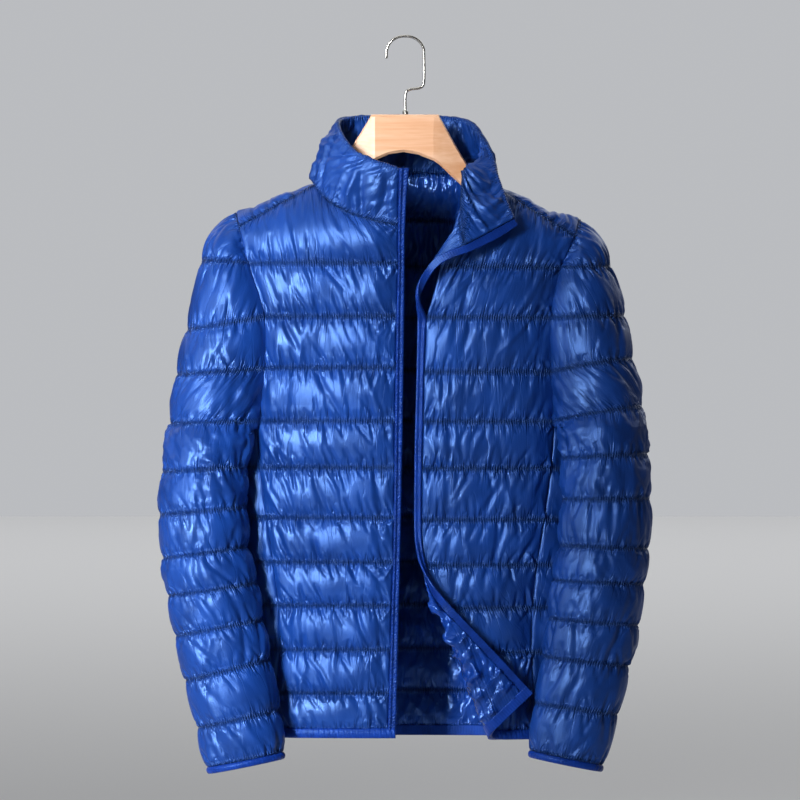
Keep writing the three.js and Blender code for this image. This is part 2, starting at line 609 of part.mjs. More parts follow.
// Sleeve grid: its first row lies on the armhole's top, its ends follow the armhole down to the underarm.
function sleeveGrid(side) {
  const A = ARMHOLE[side];
  const table = SLEEVE[side];
  const cols = SLEEVE_COLUMNS;
  const reach = SHOULDER_ROWS + 3;
  const top = [];
  for (let j = 0; j <= cols; j += 1) {
    const k = reach - j;
    top.push((k >= 0 ? A.front[k] : A.back[-k]).clone());
  }
  const ringAt = (r, start = UNDERARM_ANGLE, end = UNDERARM_ANGLE) => {
    const ring = [];
    for (let j = 0; j <= cols; j += 1) {
      const a = mix(start, 2 * Math.PI + end, j / cols);
      const cx = (r.xo + r.xi) / 2;
      const hx = (r.xi - r.xo) / 2;
      const x = cx + hx * Math.cos(a);
      const y = r.yc - r.hd * Math.sin(a);
      ring.push(new THREE.Vector3(x, y, mix(r.zi, r.zo, (1 - Math.cos(a)) / 2)));
    }
    return ring;
  };
  const open = (r, front, back, reachShare, start, end) => {
    const ring = ringAt(r, start, end);
    const n = ring.length - 1;
    const df = front.clone().sub(ring[0]);
    const db = back.clone().sub(ring[n]);
    return ring.map((p, j) => {
      const t = j / n;
      const wf = Math.max(0, 1 - t / reachShare) ** 1.6;
      const wb = Math.max(0, 1 - (1 - t) / reachShare) ** 1.6;
      return p.clone().addScaledVector(df, wf).addScaledVector(db, wb);
    });
  };
  const rows = [top];
  const keys = Object.keys(table[0]);
  const first = open(table[0], A.front[reach], A.back[reach], 0.4, ARMHOLE_ANGLE, -ARMHOLE_ANGLE);
  for (let i = 1; i < CHANNEL_ROWS; i += 1) {
    const t = i / CHANNEL_ROWS;
    rows.push(
      top.map((p, j) => {
        const q = p.clone().lerp(first[j], t);
        const lift = 7 * Math.sin(Math.PI * t) * Math.sin((Math.PI * j) / cols);
        q.x += side === "left" ? -lift : lift;
        q.z += lift * 0.9;
        return q;
      }),
    );
  }
  rows.push(first);
  for (let k = 1; k < table.length; k += 1) {
    for (const t of CHANNEL_STEPS) {
      const r = between(table[k - 1], table[k], t, keys);
      const at = reach + (rows.length - CHANNEL_ROWS);
      const joined = at < A.front.length;
      const down = (at - reach) / (A.front.length - 1 - reach);
      const start = mix(ARMHOLE_ANGLE, UNDERARM_ANGLE, down);
      const end = down < 0.67 ? -ARMHOLE_ANGLE : mix(-ARMHOLE_ANGLE, UNDERARM_ANGLE, (down - 0.66) / 0.34);
      rows.push(joined ? open(r, A.front[at], A.back[at], 0.3, start, end) : ringAt(r));
    }
  }
  const underarm = A.front.length - 1 - reach + CHANNEL_ROWS;
  rows.forEach((row, i) => {
    const step = i - underarm + 2;
    if (step < 0) return;
    const extra = step < UNDERARM_CLEARANCE.length ? UNDERARM_CLEARANCE[step] : BODY_CLEARANCE;
    row.forEach((p, j) => {
      const pinned = i <= underarm && (j === 0 || j === cols || j < cols / 2);
      if (!pinned) pushOffBody(p, extra, i <= underarm);
    });
  });
  return { rows, underarm };
}

// Builds the body panels.
const leftGrid = leftFrontGrid();
const edgeWall = (i, j, rows, cols, full) => (j === 0 || j === cols || i === 0 || i === rows ? STITCH_WALL : full);
const nearEdge = (grid, i, j) => {
  const row = grid[i];
  return Math.min(row[j].distanceTo(row[0]), row[j].distanceTo(row[row.length - 1]));
};
function frontWall(grid, cols) {
  return (i, j) => {
    const full = channelWall(i, 0, PUFF_WALL * swell(grid[i][j]));
    return edgeWall(i, j, grid.length - 1, cols, taper(full, nearEdge(grid, i, j), 26));
  };
}
const ALL_EDGES = { left: () => true, right: () => true, top: true, bottom: true };
quiltWall("front_left", leftGrid, -1, frontWall(leftGrid, LEFT_COLUMNS), ALL_EDGES);

const rightFlat = rightFrontGrid();
const rightNormalsFlat = gridNormals(rightFlat, 1);
const rightBent = rightFlat.map((row) => row.map((p) => bendPoint(p)));
const rightNormals = rightFlat.map((row, i) => row.map((p, j) => bendNormal(p, rightNormalsFlat[i][j])));
const inBend = (p) => {
  const s = pastBend(p);
  return s > -12 && s < Math.PI * BEND.radius + 8;
};
const plainRightWall = frontWall(rightFlat, RIGHT_COLUMNS);
function rightWall(i, j) {
  const flat = rightFlat[i][j];
  const wall = plainRightWall(i, j);
  return pastBend(flat) > -16 ? Math.min(wall, inBend(flat) ? 5 : 7) : wall;
}
const right = quiltWall("front_right", rightBent, 1, rightWall, ALL_EDGES, { normals: rightNormals });

const backRows = backGrid();
const BACK_FIRST = 2 * SHOULDER_ROWS + 3;
function backWall(i, j) {
  if (i === 2 * SHOULDER_ROWS) return STITCH_WALL;
  const p = backRows[i][j];
  const neckline = backRows[0].slice(YOKE_COLUMNS, BACK_COLUMNS - YOKE_COLUMNS + 1);
  const toNeck = Math.min(...neckline.map((q) => p.distanceTo(q)));
  const side = Math.min(nearEdge(backRows, i, j), Math.max(0, toNeck - 16));
  let full = taper(PUFF_WALL * swell(p), side, 26);
  if (i > 2 * SHOULDER_ROWS) full = channelWall(i, 2 * SHOULDER_ROWS, full);
  const pressed = p.z < BODY[2].zl && p.z > BODY[4].zr + 2 && Math.abs(p.x) > 165;
  if (pressed) full = Math.min(full, UNDERARM_WALL + 1);
  if (i < 2 * SHOULDER_ROWS) full = mix(STITCH_WALL, full, Math.min(1, i / 2.5, (2 * SHOULDER_ROWS - i) / 2.5));
  const cornerWall = Math.min(p.distanceTo(V(NECK_SIDE.left)), p.distanceTo(V(NECK_SIDE.right))) < 16;
  const wall = edgeWall(i, j, backRows.length - 1, BACK_COLUMNS, full);
  return cornerWall ? Math.min(wall, NECK_CORNER_WALL) : wall;
}
const back = quiltWall("back", backRows, 1, backWall, ALL_EDGES);

// Sleeves, each one wall from the armhole to the cuff.
const sleeves = {};
for (const side of ["left", "right"]) {
  const { rows, underarm } = sleeveGrid(side);
  const cols = SLEEVE_COLUMNS;
  const thickness = (i, j) => {
    if (i === 0 || i === rows.length - 1) return STITCH_WALL;
    if (i <= underarm && (j === 0 || j === cols)) return STITCH_WALL;
    const full = channelWall(i, 0, SLEEVE_PUFF * swell(rows[i][j % cols]));
    const pressed = Math.abs(i - underarm) <= 2 && (j > cols * 0.66 || (i > underarm && j < 2));
    if (pressed) return Math.min(full, UNDERARM_WALL);
    return i < underarm ? taper(full, nearEdge(rows, i, j), 26) : full;
  };
  const fixNormals = (n) => {
    for (let i = 0; i < CHANNEL_ROWS; i += 1) {
      n[i][0] = n[CHANNEL_ROWS][0].clone();
      n[i][cols] = n[CHANNEL_ROWS][cols].clone();
    }
    for (let i = underarm; i < rows.length; i += 1) {
      const both = n[i][0].clone().add(n[i][cols]).normalize();
      n[i][0] = both;
      n[i][cols] = both.clone();
    }
  };
  const closed = (i) => i > underarm;
  for (let i = 0; i < CHANNEL_ROWS; i += 1) {
    rows[i][0] = rows[CHANNEL_ROWS][0].clone();
    rows[i][cols] = rows[CHANNEL_ROWS][cols].clone();
  }
  const onArmhole = (i) => i < underarm && i >= CHANNEL_ROWS;
  const edges = { top: true, bottom: true, left: onArmhole, right: onArmhole };
  const tube = { closed, fixNormals, openEdge: (i) => i < underarm };
  sleeves[side] = quiltWall("sleeve_" + side, rows, side === "left" ? 1 : -1, thickness, edges, tube);
}

// Collar: one padded band round the neck, its right end turned out.
const collarBase = [
  ...NECK_FRONT_LEFT.map(V).reverse(), V(NECK_SIDE.left), ...NECK_BACK.map(V), V(NECK_SIDE.right),
  ...COLLAR_TURN_BASE.map(V),
];
const COLLAR_ROWS = 3;
const collarGrid = [];
for (let i = 0; i <= COLLAR_ROWS; i += 1) {
  collarGrid.push(COLLAR_TOP.map((p, j) => V(p).lerp(collarBase[j], i / COLLAR_ROWS)));
}
const collarPuff = (i, j) => {
  const end = j === 0 || j === COLLAR_TOP.length - 1;
  if (i === COLLAR_ROWS || end) return 1.5;
  return i === 0 ? 3 : 0.5 * COLLAR_PUFF;
};
const COLLAR_EDGES = { left: () => true, right: () => true, bottom: true };
quiltWall("collar", collarGrid, 1, (i, j) => collarPuff(i, j) + (i === COLLAR_ROWS ? 1 : 2), COLLAR_EDGES, {
  gap: 0.7,
  innerWall: (i, j) => (i === COLLAR_ROWS ? 0 : collarPuff(i, j) * 0.8),
});

// Zip tapes: the inner edge lies on the collar's end and the panel's edge, the outer edge on its own table.
function xAt(table, z) {
  let k = 0;
  while (k < table.length - 2 && z < table[k + 1][1]) k += 1;
  const t = (z - table[k][1]) / (table[k + 1][1] - table[k][1]);
  return mix(table[k][0], table[k + 1][0], Math.max(0, t));
}
const leftTapeGrid = [];
for (let i = 0; i < COLLAR_ROWS; i += 1) leftTapeGrid.push(collarGrid[i][0]);
for (const row of leftGrid) leftTapeGrid.push(row[LEFT_COLUMNS]);
const leftTape = leftTapeGrid.map((p) => [p.clone(), new THREE.Vector3(xAt(TAPE_LEFT, p.z), p.y - 0.5, p.z)]);
const tapeWall = (i, j) => (j === 0 ? STITCH_WALL : TAPE_WALL);
quiltWall("zip_tape_left", leftTape, -1, tapeWall, ALL_EDGES, { color: TAPE_BLUE, rough: 0.6 });

const lapelTape = TAPE_LAPEL.map((p, i) => [V(LAPEL_INSET[i]), V(p)]);
const rightTapeFlat = rightFlat
  .filter((row, i) => i >= 2 * CHANNEL_ROWS)
  .map((row) => row[RIGHT_COLUMNS])
  .map((p) => [p.clone(), onFront(xAt(TAPE_RIGHT_FLAT, p.z), p.z)]);
const rightTapeLow = rightTapeFlat.map((row) => row.map((p) => bendPoint(p)));
const rightTape = lapelTape.concat(rightTapeLow);
quiltWall("zip_tape_right", rightTape, 1, tapeWall, ALL_EDGES, { color: TAPE_BLUE, rough: 0.6 });

// Facing turned out below the collar's end.
const facingGrid = FACING.map((row) => [V(row[0]), V(row[0]).lerp(V(row[1]), 0.5), V(row[1])]);
quiltWall("facing_right", facingGrid, 1, () => 1.6, ALL_EDGES, { color: SHELL_BLUE, rough: 0.3, gap: 0.7 });

// Hem binding: from the left front edge round the back to the turned right corner.
const hemFlat = [];
const bottomOf = (grid) => grid[grid.length - 1];
const leftBottom = bottomOf(leftTape)[1];
hemFlat.push({ p: leftBottom, bent: false });
for (let j = LEFT_COLUMNS; j > 0; j -= 1) hemFlat.push({ p: bottomOf(leftGrid)[j], bent: false });
for (let j = 0; j <= BACK_COLUMNS; j += 1) hemFlat.push({ p: bottomOf(backRows)[j], bent: false });
for (let j = 1; j <= RIGHT_COLUMNS; j += 1) hemFlat.push({ p: bottomOf(rightFlat)[j], bent: true });
hemFlat.push({ p: bottomOf(rightTapeFlat)[1], bent: true });
const hemFlatGrid = [0, 0.5, 1].map((t) =>
  hemFlat.map(({ p }) => new THREE.Vector3(p.x, p.y, p.z - 0.4 - (HEM_DEPTH - 0.4) * t)),
);
const hemNormalsFlat = gridNormals(hemFlatGrid, 1);
const hemBent = hemFlatGrid.map((row) => row.map((p, j) => (hemFlat[j].bent ? bendPoint(p) : p)));
const hemNormals = hemFlatGrid.map((row, i) =>
  row.map((p, j) => (hemFlat[j].bent ? bendNormal(p, hemNormalsFlat[i][j]) : hemNormalsFlat[i][j])),
);
const bindingWall = (i) => (i === 1 ? BINDING_WALL : BINDING_WALL - 1.2);
quiltWall("hem_binding", hemBent, 1, bindingWall, {}, { normals: hemNormals, color: TAPE_BLUE, rough: 0.6 });

// Cuff bindings.
for (const side of ["left", "right"]) {
  const ring = bottomOf(sleeves[side].grid);
  const tilt = SLEEVE[side][SLEEVE[side].length - 1];
  const down = new THREE.Vector3((tilt.xi - tilt.xo) * 0.12, 0, -100).normalize();
  const cuffGrid = [0, 0.5, 1].map((t) => ring.map((p) => p.clone().addScaledVector(down, 0.5 + CUFF_DEPTH * t)));
  const closedRing = { closed: () => true, openEdge: () => false, color: TAPE_BLUE, rough: 0.6 };
  const joinEnds = (n) => n.forEach((row) => (row[SLEEVE_COLUMNS] = row[0].clone()));
  const turn = side === "left" ? 1 : -1;
  quiltWall("cuff_binding_" + side, cuffGrid, turn, bindingWall, {}, { ...closedRing, fixNormals: joinEnds });
}
finishWalls();

// Linings where they show: inside the back, and over the turned-out corner.
function addLining(name, piece, rowsKept, first, last) {
  const pick = (grid) => rowsKept.map((i) => grid[i].slice(first, last + 1));
  const base = pick(piece.base);
  const normals = pick(piece.normals);
  const near = offsetGrid(base, normals, () => -LINING_GAP);
  const far = offsetGrid(base, normals, () => -LINING_GAP - LINING_WALL);
  addSolid(name, wallCorners(far, near), LINING_BLUE, 0.2);
}
const backKept = [];
for (let i = 0; i < BACK_FIRST; i += 1) backKept.push(i);
for (let i = BACK_FIRST; i < backRows.length; i += CHANNEL_ROWS) backKept.push(i);
addLining("lining_back", back, backKept, 6, BACK_COLUMNS - 5);
const cornerKept = [];
for (let i = CHANNEL_ROWS * 6; i < rightFlat.length; i += 1) cornerKept.push(i);
addLining("lining_corner", right, cornerKept, PLAIN_COLUMNS - 1, RIGHT_COLUMNS);

// Hanger: the wooden body with a flat middle, an arched notch and sloping arms.
const EDGE_ROUND = 3;
const woodRows = [
  (w) => ({ z: w.top, half: w.deep / 2 - EDGE_ROUND }),
  (w) => ({ z: w.top - EDGE_ROUND, half: w.deep / 2 }),
  (w) => ({ z: w.bottom + EDGE_ROUND, half: w.deep / 2 }),
  (w) => ({ z: w.bottom, half: w.deep / 2 - EDGE_ROUND }),
];
const woodFace = (sign) =>
  woodRows.map((f) => WOOD.map((w) => new THREE.Vector3(w.x, w.y + sign * f(w).half, f(w).z)));
addSolid("hanger_body", wallCorners(woodFace(1), woodFace(-1)), WOOD_TONE, 0.5);

// Hook wire with its sideways step, and the ferrule round its foot.
const hookPoints = HOOK_PATH.map((p) => new THREE.Vector3(p[0], HOOK_Y, p[1]));
const hookCurve = new THREE.CatmullRomCurve3(hookPoints, false, "centripetal");
const wireShape = new THREE.Shape().absarc(0, 0, WIRE / 2, 0, 2 * Math.PI, false);
const hookGeometry = new THREE.ExtrudeGeometry(wireShape, {
  steps: 46, curveSegments: 5, bevelEnabled: false, extrudePath: hookCurve,
});
const steel = new THREE.MeshStandardMaterial({ color: STEEL_TONE, roughness: 0.25, metalness: 1 });
const hook = new THREE.Mesh(hookGeometry, steel);
hook.name = "hanger_hook";
root.add(hook);
const bore = WIRE / 2 + 0.3;
const ferruleProfile = [
  [bore, FERRULE.bottom], [FERRULE.radius, FERRULE.bottom], [FERRULE.radius, FERRULE.top - 1.2],
  [FERRULE.radius - 1, FERRULE.top], [bore, FERRULE.top], [bore, FERRULE.bottom],
].map(([r, z]) => new THREE.Vector2(r, z));
const ferrule = new THREE.Mesh(new THREE.LatheGeometry(ferruleProfile, 20), steel.clone());
ferrule.name = "hanger_ferrule";
ferrule.rotation.x = Math.PI / 2;
ferrule.position.y = HOOK_Y;
root.add(ferrule);

export default root;
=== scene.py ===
import math

import bmesh
import bpy
import numpy as np
from mathutils import Matrix, Vector


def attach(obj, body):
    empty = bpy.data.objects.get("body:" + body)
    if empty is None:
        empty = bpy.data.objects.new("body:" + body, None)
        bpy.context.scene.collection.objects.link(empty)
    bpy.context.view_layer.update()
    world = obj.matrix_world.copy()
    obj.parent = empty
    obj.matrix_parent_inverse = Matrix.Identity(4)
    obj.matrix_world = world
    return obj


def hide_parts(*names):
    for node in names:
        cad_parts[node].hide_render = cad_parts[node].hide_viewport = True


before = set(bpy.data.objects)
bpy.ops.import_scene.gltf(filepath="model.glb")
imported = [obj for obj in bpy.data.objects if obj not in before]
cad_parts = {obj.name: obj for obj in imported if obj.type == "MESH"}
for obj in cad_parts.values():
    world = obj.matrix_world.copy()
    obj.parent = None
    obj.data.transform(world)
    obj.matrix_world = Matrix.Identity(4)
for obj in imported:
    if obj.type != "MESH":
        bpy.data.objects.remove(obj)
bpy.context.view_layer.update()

# A quilted down jacket on a wooden hanger. Tables are in millimetres, and pieces are made in metres.
# x runs to the viewer's right, y away from the viewer and z up, with the origin inside the hook's top.
MM = 0.001
SEED = 20

# Pattern of the jacket: the same named sizes as its solids. Left and right are the viewer's.
SHOULDER_ROWS = 5
CHANNEL_ROWS = 3
SLEEVE_COLUMNS = 16
# A quilt line has its heights at the left and right (zl, zr), its ends at the front's side seams (sl, sr),
# at the back's armholes (bl, br) and at the front edges (el, er), and the body's half width and depths there.
BODY_KEYS = ("zl", "zr", "sl", "sr", "bl", "br", "el", "er", "half", "front", "back")
BODY = [dict(zip(BODY_KEYS, row)) for row in (
    (-275.2, -280.6, -192, 190, -194, 194, -9, 43, 212, 60, 52),
    (-340.4, -341.6, -172, 178, -187, 187, -11, 26, 210, 66, 57),
    (-402.6, -407.5, -172, 179, -189, 189, -12, 23, 208, 69, 60),
    (-467.3, -467.7, -179, 181, 0, 0, -13, 22, 207, 71, 62),
    (-523.4, -524.6, -176, 176, 0, 0, -13.5, 20.5, 207, 72, 63),
    (-584.4, -586.8, -168, 168, 0, 0, -14, 20, 206, 72, 63),
    (-638.1, -641.7, -160, 159, 0, 0, -15, 20, 205, 72, 62),
    (-690.5, -693.7, -153, 153, 0, 0, -17, 20, 202, 72, 61),
    (-744.2, -747.9, -152, 152, 0, 0, -18.5, 20.5, 199, 71, 60),
    (-796.7, -797.9, -155, 155, 0, 0, -20, 21, 196, 70, 59),
    (-841.0, -843.0, -155, 155, 0, 0, -21.5, 22, 192, 69, 57),
)]
SECTION_POWER = 2.4
SHOULDER = {
    "left": {"seam": (-202, -22, -231), "ridge": (-206, 2, -214), "upper": (-201, 22, -238)},
    "right": {"seam": (206, -24, -243), "ridge": (212, 2, -222), "upper": (204, 22, -244)},
}
UNDERARM = ((203, False), (202, True))
YOKE_COLUMNS = 4
NECK_SIDE = {"left": (-111, -13, -181), "right": (111, -13, -184)}
NECK_BACK = (
    (-104, 10, -169), (-86, 29, -166), (-60, 42, -164.5), (-31, 48, -163.5), (0, 50, -163.5),
    (31, 48, -163.5), (60, 42, -164.5), (86, 29, -166.5), (104, 10, -171),
)
NECK_FRONT_LEFT = ((-93, -36, -200), (-66, -50, -215), (-38, -57, -223.5), (-9, -60, -229))
ROLL_MIDDLE = (98, -33, -193)
ROLL_TOP = (66, -57, -209)
COLLAR_TOP = (
    (-8, -66, -160), (-36, -61, -150.5), (-60, -49, -138), (-75, -31, -119), (-81, -8, -102),
    (-77, 12, -97), (-64, 27, -94.5), (-44, 36, -93.5), (-22, 40, -93), (0, 41, -93),
    (22, 40, -93), (44, 36, -94), (65, 28, -96.5), (81, 14, -102),
    (94, -4, -121), (107, -20, -150), (117, -38, -182), (124, -50, -201), (132.4, -60, -220.9),
)
COLLAR_TURN_BASE = ((101, -38, -191), (85, -62, -202), (70.5, -79, -226), (71.5, -83, -254.3))
COLLAR_END_STEPS = 3
# A sleeve's quilt line has its heights and places at the outer and inner side (zo, zi, xo, xi), its middle
# in depth (yc) and half its depth (hd).
SLEEVE_KEYS = ("zo", "zi", "xo", "xi", "yc", "hd")
SLEEVE = {
    "left": [dict(zip(SLEEVE_KEYS, row)) for row in (
        (-272, -275, -245, -170, 0, 42), (-357, -345, -262, -176, -6, 55),
        (-411, -406, -274, -180, -14, 60), (-471, -467, -282, -184, -28, 60),
        (-529.5, -522, -291, -194, -46, 56), (-580.7, -571, -294, -195, -56, 52),
        (-633, -620, -290, -195, -62, 49), (-678, -664, -283, -184, -70, 44),
        (-726, -708, -274, -178, -76, 40), (-779.6, -756, -262, -170, -80, 36),
        (-836.9, -817, -247, -158, -84, 32), (-884.5, -867, -236, -151, -86, 28),
    )],
    "right": [dict(zip(SLEEVE_KEYS, row)) for row in (
        (-280, -281, 247, 172, 0, 42), (-340, -341, 263, 179, -6, 55),
        (-392, -400, 273, 184, -14, 60), (-450, -460, 284, 187, -28, 60),
        (-507, -512, 290, 191, -44, 56), (-561, -562, 293, 192, -55, 52),
        (-621.6, -618, 290, 190, -62, 49), (-664, -660, 285, 183, -69, 45),
        (-713.7, -706, 278, 178, -75, 41), (-762.5, -752, 266, 171, -80, 37),
        (-821, -808, 253, 161, -84, 32), (-882, -865, 235, 154, -86, 28),
    )],
}
BODY_CLEARANCE = 27.5
UNDERARM_CLEARANCE = (9, 13, 13, 16, 18, 20)
ARMHOLE_ANGLE = 0.95
UNDERARM_ANGLE = 0.6
BEND = {"x": 35.5, "z": -650, "dir": (0.375, -0.927), "radius": 13.5}
BEND_COLUMNS = 7
RIGHT_COLUMNS = 14
PLAIN_COLUMNS = 5
ROUND_SHARE = 0.62
# The back's upper middle, behind the shoulder blades.
BACK_TOP_DEPTH = 50
BACK_TOP_HEIGHT = -222
BACK_COLUMNS = 2 * YOKE_COLUMNS + len(NECK_BACK) + 1
LEFT_COLUMNS = YOKE_COLUMNS + len(NECK_FRONT_LEFT)
TAPE_LEFT = (
    (5, -162), (1.5, -196), (-0.7, -244), (-1, -320), (-3, -466), (-5.7, -612), (-8.5, -722),
    (-11, -832), (-13, -853),
)
TAPE_RIGHT_FLAT = (
    (14.5, -352), (13.5, -406), (11, -500), (10.5, -588), (10.5, -690), (11, -790), (12.5, -853),
)
TAPE_LAPEL = (
    (137, -62, -229), (118, -69, -242), (97, -79, -253), (76, -85, -262.5), (54.5, -86, -270),
    (41, -85, -278), (32, -83, -288), (22, -79, -306), (15.5, -73, -324),
)
# The lapel's edge below the collar's turned end.
LAPEL_EDGE = (
    (71.5, -83, -254.3), (50.5, -84, -262), (35, -83, -271), (25.6, -82, -282), (16.5, -84, -301),
    (18, -81.5, -322),
)
FACING = (
    ((65.5, -77, -224), (71.5, -83, -254.3)), ((55, -78, -240), (50.5, -84, -262)),
    ((44, -78, -256), (35, -83, -271)), ((35, -78, -271), (25.6, -82, -282)),
)
HEM_DEPTH = 10.5
CUFF_DEPTH = 8.5
WIRE = 3.5
HOOK_PATH = (
    (-23.1, -24.8), (-22.4, -14), (-18, -5.5), (-10, 0.2), (0, 1.8), (10, 0), (18, -5.5),
    (22, -13), (22.7, -22), (22.7, -52), (21.6, -58.4), (17.5, -61.2), (6, -63), (1.6, -65.6),
    (0, -71), (0, -93.4),
)
HOOK_Y = -12


def vec(p):
    return np.array(p, float)


def mix(a, b, t):
    return a + (b - a) * t


def unit(v):
    length = np.linalg.norm(v, axis=-1, keepdims=True)
    return v / np.maximum(length, 1e-9)


def section_at(z):
    """Half width and depths of the body at a height, between the quilt lines."""
    last = len(BODY) - 1
    k = 0
    while k < last - 1 and z < (BODY[k + 1]["zl"] + BODY[k + 1]["zr"]) / 2:
        k += 1
    a, b = BODY[k], BODY[k + 1]
    za, zb = (a["zl"] + a["zr"]) / 2, (b["zl"] + b["zr"]) / 2
    t = min(1.3, max(-1.2, (z - za) / (zb - za)))
    return [mix(a[key], b[key], t) for key in ("half", "front", "back")]


def depth_at(x, z, in_front):
    half, front, back = section_at(z)
    share = min(1, abs(x) / half)
    bulge = (1 - share**SECTION_POWER) ** (1 / SECTION_POWER)
    return -front * bulge if in_front else back * bulge


def on_front(x, z):
    return vec((x, depth_at(x, z, True), z))


def on_back(x, z):
    return vec((x, depth_at(x, z, False), z))


def spline_through(points, per_span):
    """A centripetal curve through points, with so many steps to each span."""
    p = [vec(q) for q in points]
    p = [2 * p[0] - p[1]] + p + [2 * p[-1] - p[-2]]
    out = [p[1].copy()]
    for s in range(len(p) - 3):
        steps = per_span if isinstance(per_span, (int, float)) else per_span[s]
        p0, p1, p2, p3 = p[s : s + 4]
        d0, d1, d2 = (np.linalg.norm(b - a) ** 0.5 for a, b in ((p0, p1), (p1, p2), (p2, p3)))
        m1 = ((p1 - p0) / d0 - (p2 - p0) / (d0 + d1) + (p2 - p1) / d1) * d1
        m2 = ((p2 - p1) / d1 - (p3 - p1) / (d1 + d2) + (p3 - p2) / d2) * d1
        for i in range(1, int(steps) + 1):
            t = i / steps
            out.append(
                p1 + m1 * t + (-3 * p1 + 3 * p2 - 2 * m1 - m2) * t**2 + (2 * p1 - 2 * p2 + m1 + m2) * t**3
            )
    return out


def armhole(side):
    """Armhole points of one side, down the front and down the back from the ridge."""
    left = side == "left"
    z_key, seam_key, back_key = ("zl", "sl", "bl") if left else ("zr", "sr", "br")
    s = SHOULDER[side]
    front = [s["ridge"], s["seam"]] + [on_front(r[seam_key], r[z_key]) for r in BODY[:4]]
    back = [s["ridge"], s["upper"]] + [on_back(r[back_key], r[z_key]) for r in BODY[:3]]
    f = spline_through(front, [SHOULDER_ROWS, 3, 3, 3, 3])
    b = spline_through(back, [SHOULDER_ROWS, 3, 3, 3])
    for i, (x, in_front) in enumerate(UNDERARM):
        z = mix(BODY[2][z_key], BODY[3][z_key], (i + 1) / 3)
        b.append((on_front if in_front else on_back)(-x if left else x, z))
    b.append(f[-1].copy())
    return f, b


ARMHOLE = {side: armhole(side) for side in ("left", "right")}
LINE_ROWS = [dict(BODY[0])]
for upper, lower in zip(BODY, BODY[1:]):
    for step in (1 / 3, 2 / 3, 1):
        LINE_ROWS.append({key: mix(upper[key], lower[key], step) for key in BODY_KEYS})


def yoke_row(side):
    """The forward shoulder seam, from the armhole to the neck."""
    seam, neck = vec(SHOULDER[side]["seam"]), vec(NECK_SIDE[side])
    return [mix(seam, neck, j / YOKE_COLUMNS) for j in range(YOKE_COLUMNS + 1)]


def top_patch(top, bottom, edge, bulge):
    """Rows of the front from the yoke seam to the first quilt line."""
    rows = [top]
    for i in range(1, CHANNEL_ROWS):
        t = i / CHANNEL_ROWS
        row = []
        for j, p in enumerate(top):
            q = mix(p, bottom[j], t)
            q[1] -= bulge * math.sin(math.pi * t) * math.sin(math.pi * j / (len(top) - 1))
            row.append(q)
        row[0] = edge[i].copy()
        rows.append(row)
    return rows


def left_front():
    """Rows of the left front, from the shoulder to the hem, each from the side seam to the zip."""
    rows = []
    for i, r in enumerate(LINE_ROWS):
        xs = [mix(r["sl"], r["el"], (j / LEFT_COLUMNS) ** 1.15) for j in range(LEFT_COLUMNS + 1)]
        rows.append([on_front(x, r["zl"]) for x in xs])
        if i < 10:
            rows[-1][0] = ARMHOLE["left"][0][SHOULDER_ROWS + 3 + i].copy()
    top = yoke_row("left") + [vec(p) for p in NECK_FRONT_LEFT]
    return np.array(top_patch(top, rows[0], ARMHOLE["left"][0][SHOULDER_ROWS:], 9) + rows)


def right_columns(seam, edge, z):
    """Places along a row of the right front, close together where its corner turns."""
    foot = BEND["x"] + (BEND["z"] - z) * (BEND["dir"][0] / -BEND["dir"][1])
    start, end = max(foot + 6, edge + 24), max(foot - 48, edge + 5)
    far = PLAIN_COLUMNS + BEND_COLUMNS
    xs = []
    for j in range(RIGHT_COLUMNS + 1):
        if j <= PLAIN_COLUMNS:
            xs.append(mix(seam, start, j / PLAIN_COLUMNS))
        elif j <= far:
            xs.append(mix(start, end, (j - PLAIN_COLUMNS) / BEND_COLUMNS))
        else:
            xs.append(mix(end, edge, (j - far) / (RIGHT_COLUMNS - far)))
    return xs


def right_front():
    """Rows of the right front, laid flat: its corner is turned afterwards."""
    rows = []
    for i, r in enumerate(LINE_ROWS):
        rows.append([on_front(x, r["zr"]) for x in right_columns(r["sr"], r["er"], r["zr"])])
        if i < 10:
            rows[-1][0] = ARMHOLE["right"][0][SHOULDER_ROWS + 3 + i].copy()
    curve = spline_through([NECK_SIDE["right"], ROLL_MIDDLE, ROLL_TOP], (RIGHT_COLUMNS - YOKE_COLUMNS) // 2)
    top = yoke_row("right") + curve[1:]
    return np.array(top_patch(top, rows[0], ARMHOLE["right"][0][SHOULDER_ROWS:], 7) + rows)


# The turned-out corner is bent round a cylinder along this line in the front's plane.
BEND_DIR = unit(vec((BEND["dir"][0], 0, BEND["dir"][1])))
BEND_OUT = vec((BEND_DIR[2], 0, -BEND_DIR[0]))


def past_bend(p):
    """How far a point of the front lies past the bend line, in mm."""
    return (p[..., 0] - BEND["x"]) * BEND_OUT[0] + (p[..., 2] - BEND["z"]) * BEND_OUT[2]


def bend_points(grid):
    """The grid with everything past the bend line rolled outwards and laid back."""
    out = grid.copy()
    r = BEND["radius"]
    for index in np.argwhere(past_bend(grid) > 0):
        p = grid[tuple(index)]
        s = float(past_bend(p))
        foot = p - BEND_OUT * s
        foot[1] = depth_at(foot[0], foot[2], True)
        angle = min(math.pi, s / r)
        q = foot + BEND_OUT * (r * math.sin(angle) - max(0, s - math.pi * r))
        q[1] -= r * (1 - math.cos(angle))
        out[tuple(index)] = q
    return out


def bend_normals(grid, normals):
    """The normals of the flat front, turned with the corner."""
    out = normals.copy()
    for index in np.argwhere(past_bend(grid) > 0):
        at = tuple(index)
        s = float(past_bend(grid[at]))
        n = unit(mix(normals[at], vec((0, -1, 0)), min(1, s / 8)))
        turn = Matrix.Rotation(-min(math.pi, s / BEND["radius"]), 3, Vector(BEND_DIR))
        out[at] = turn @ Vector(n)
    return out


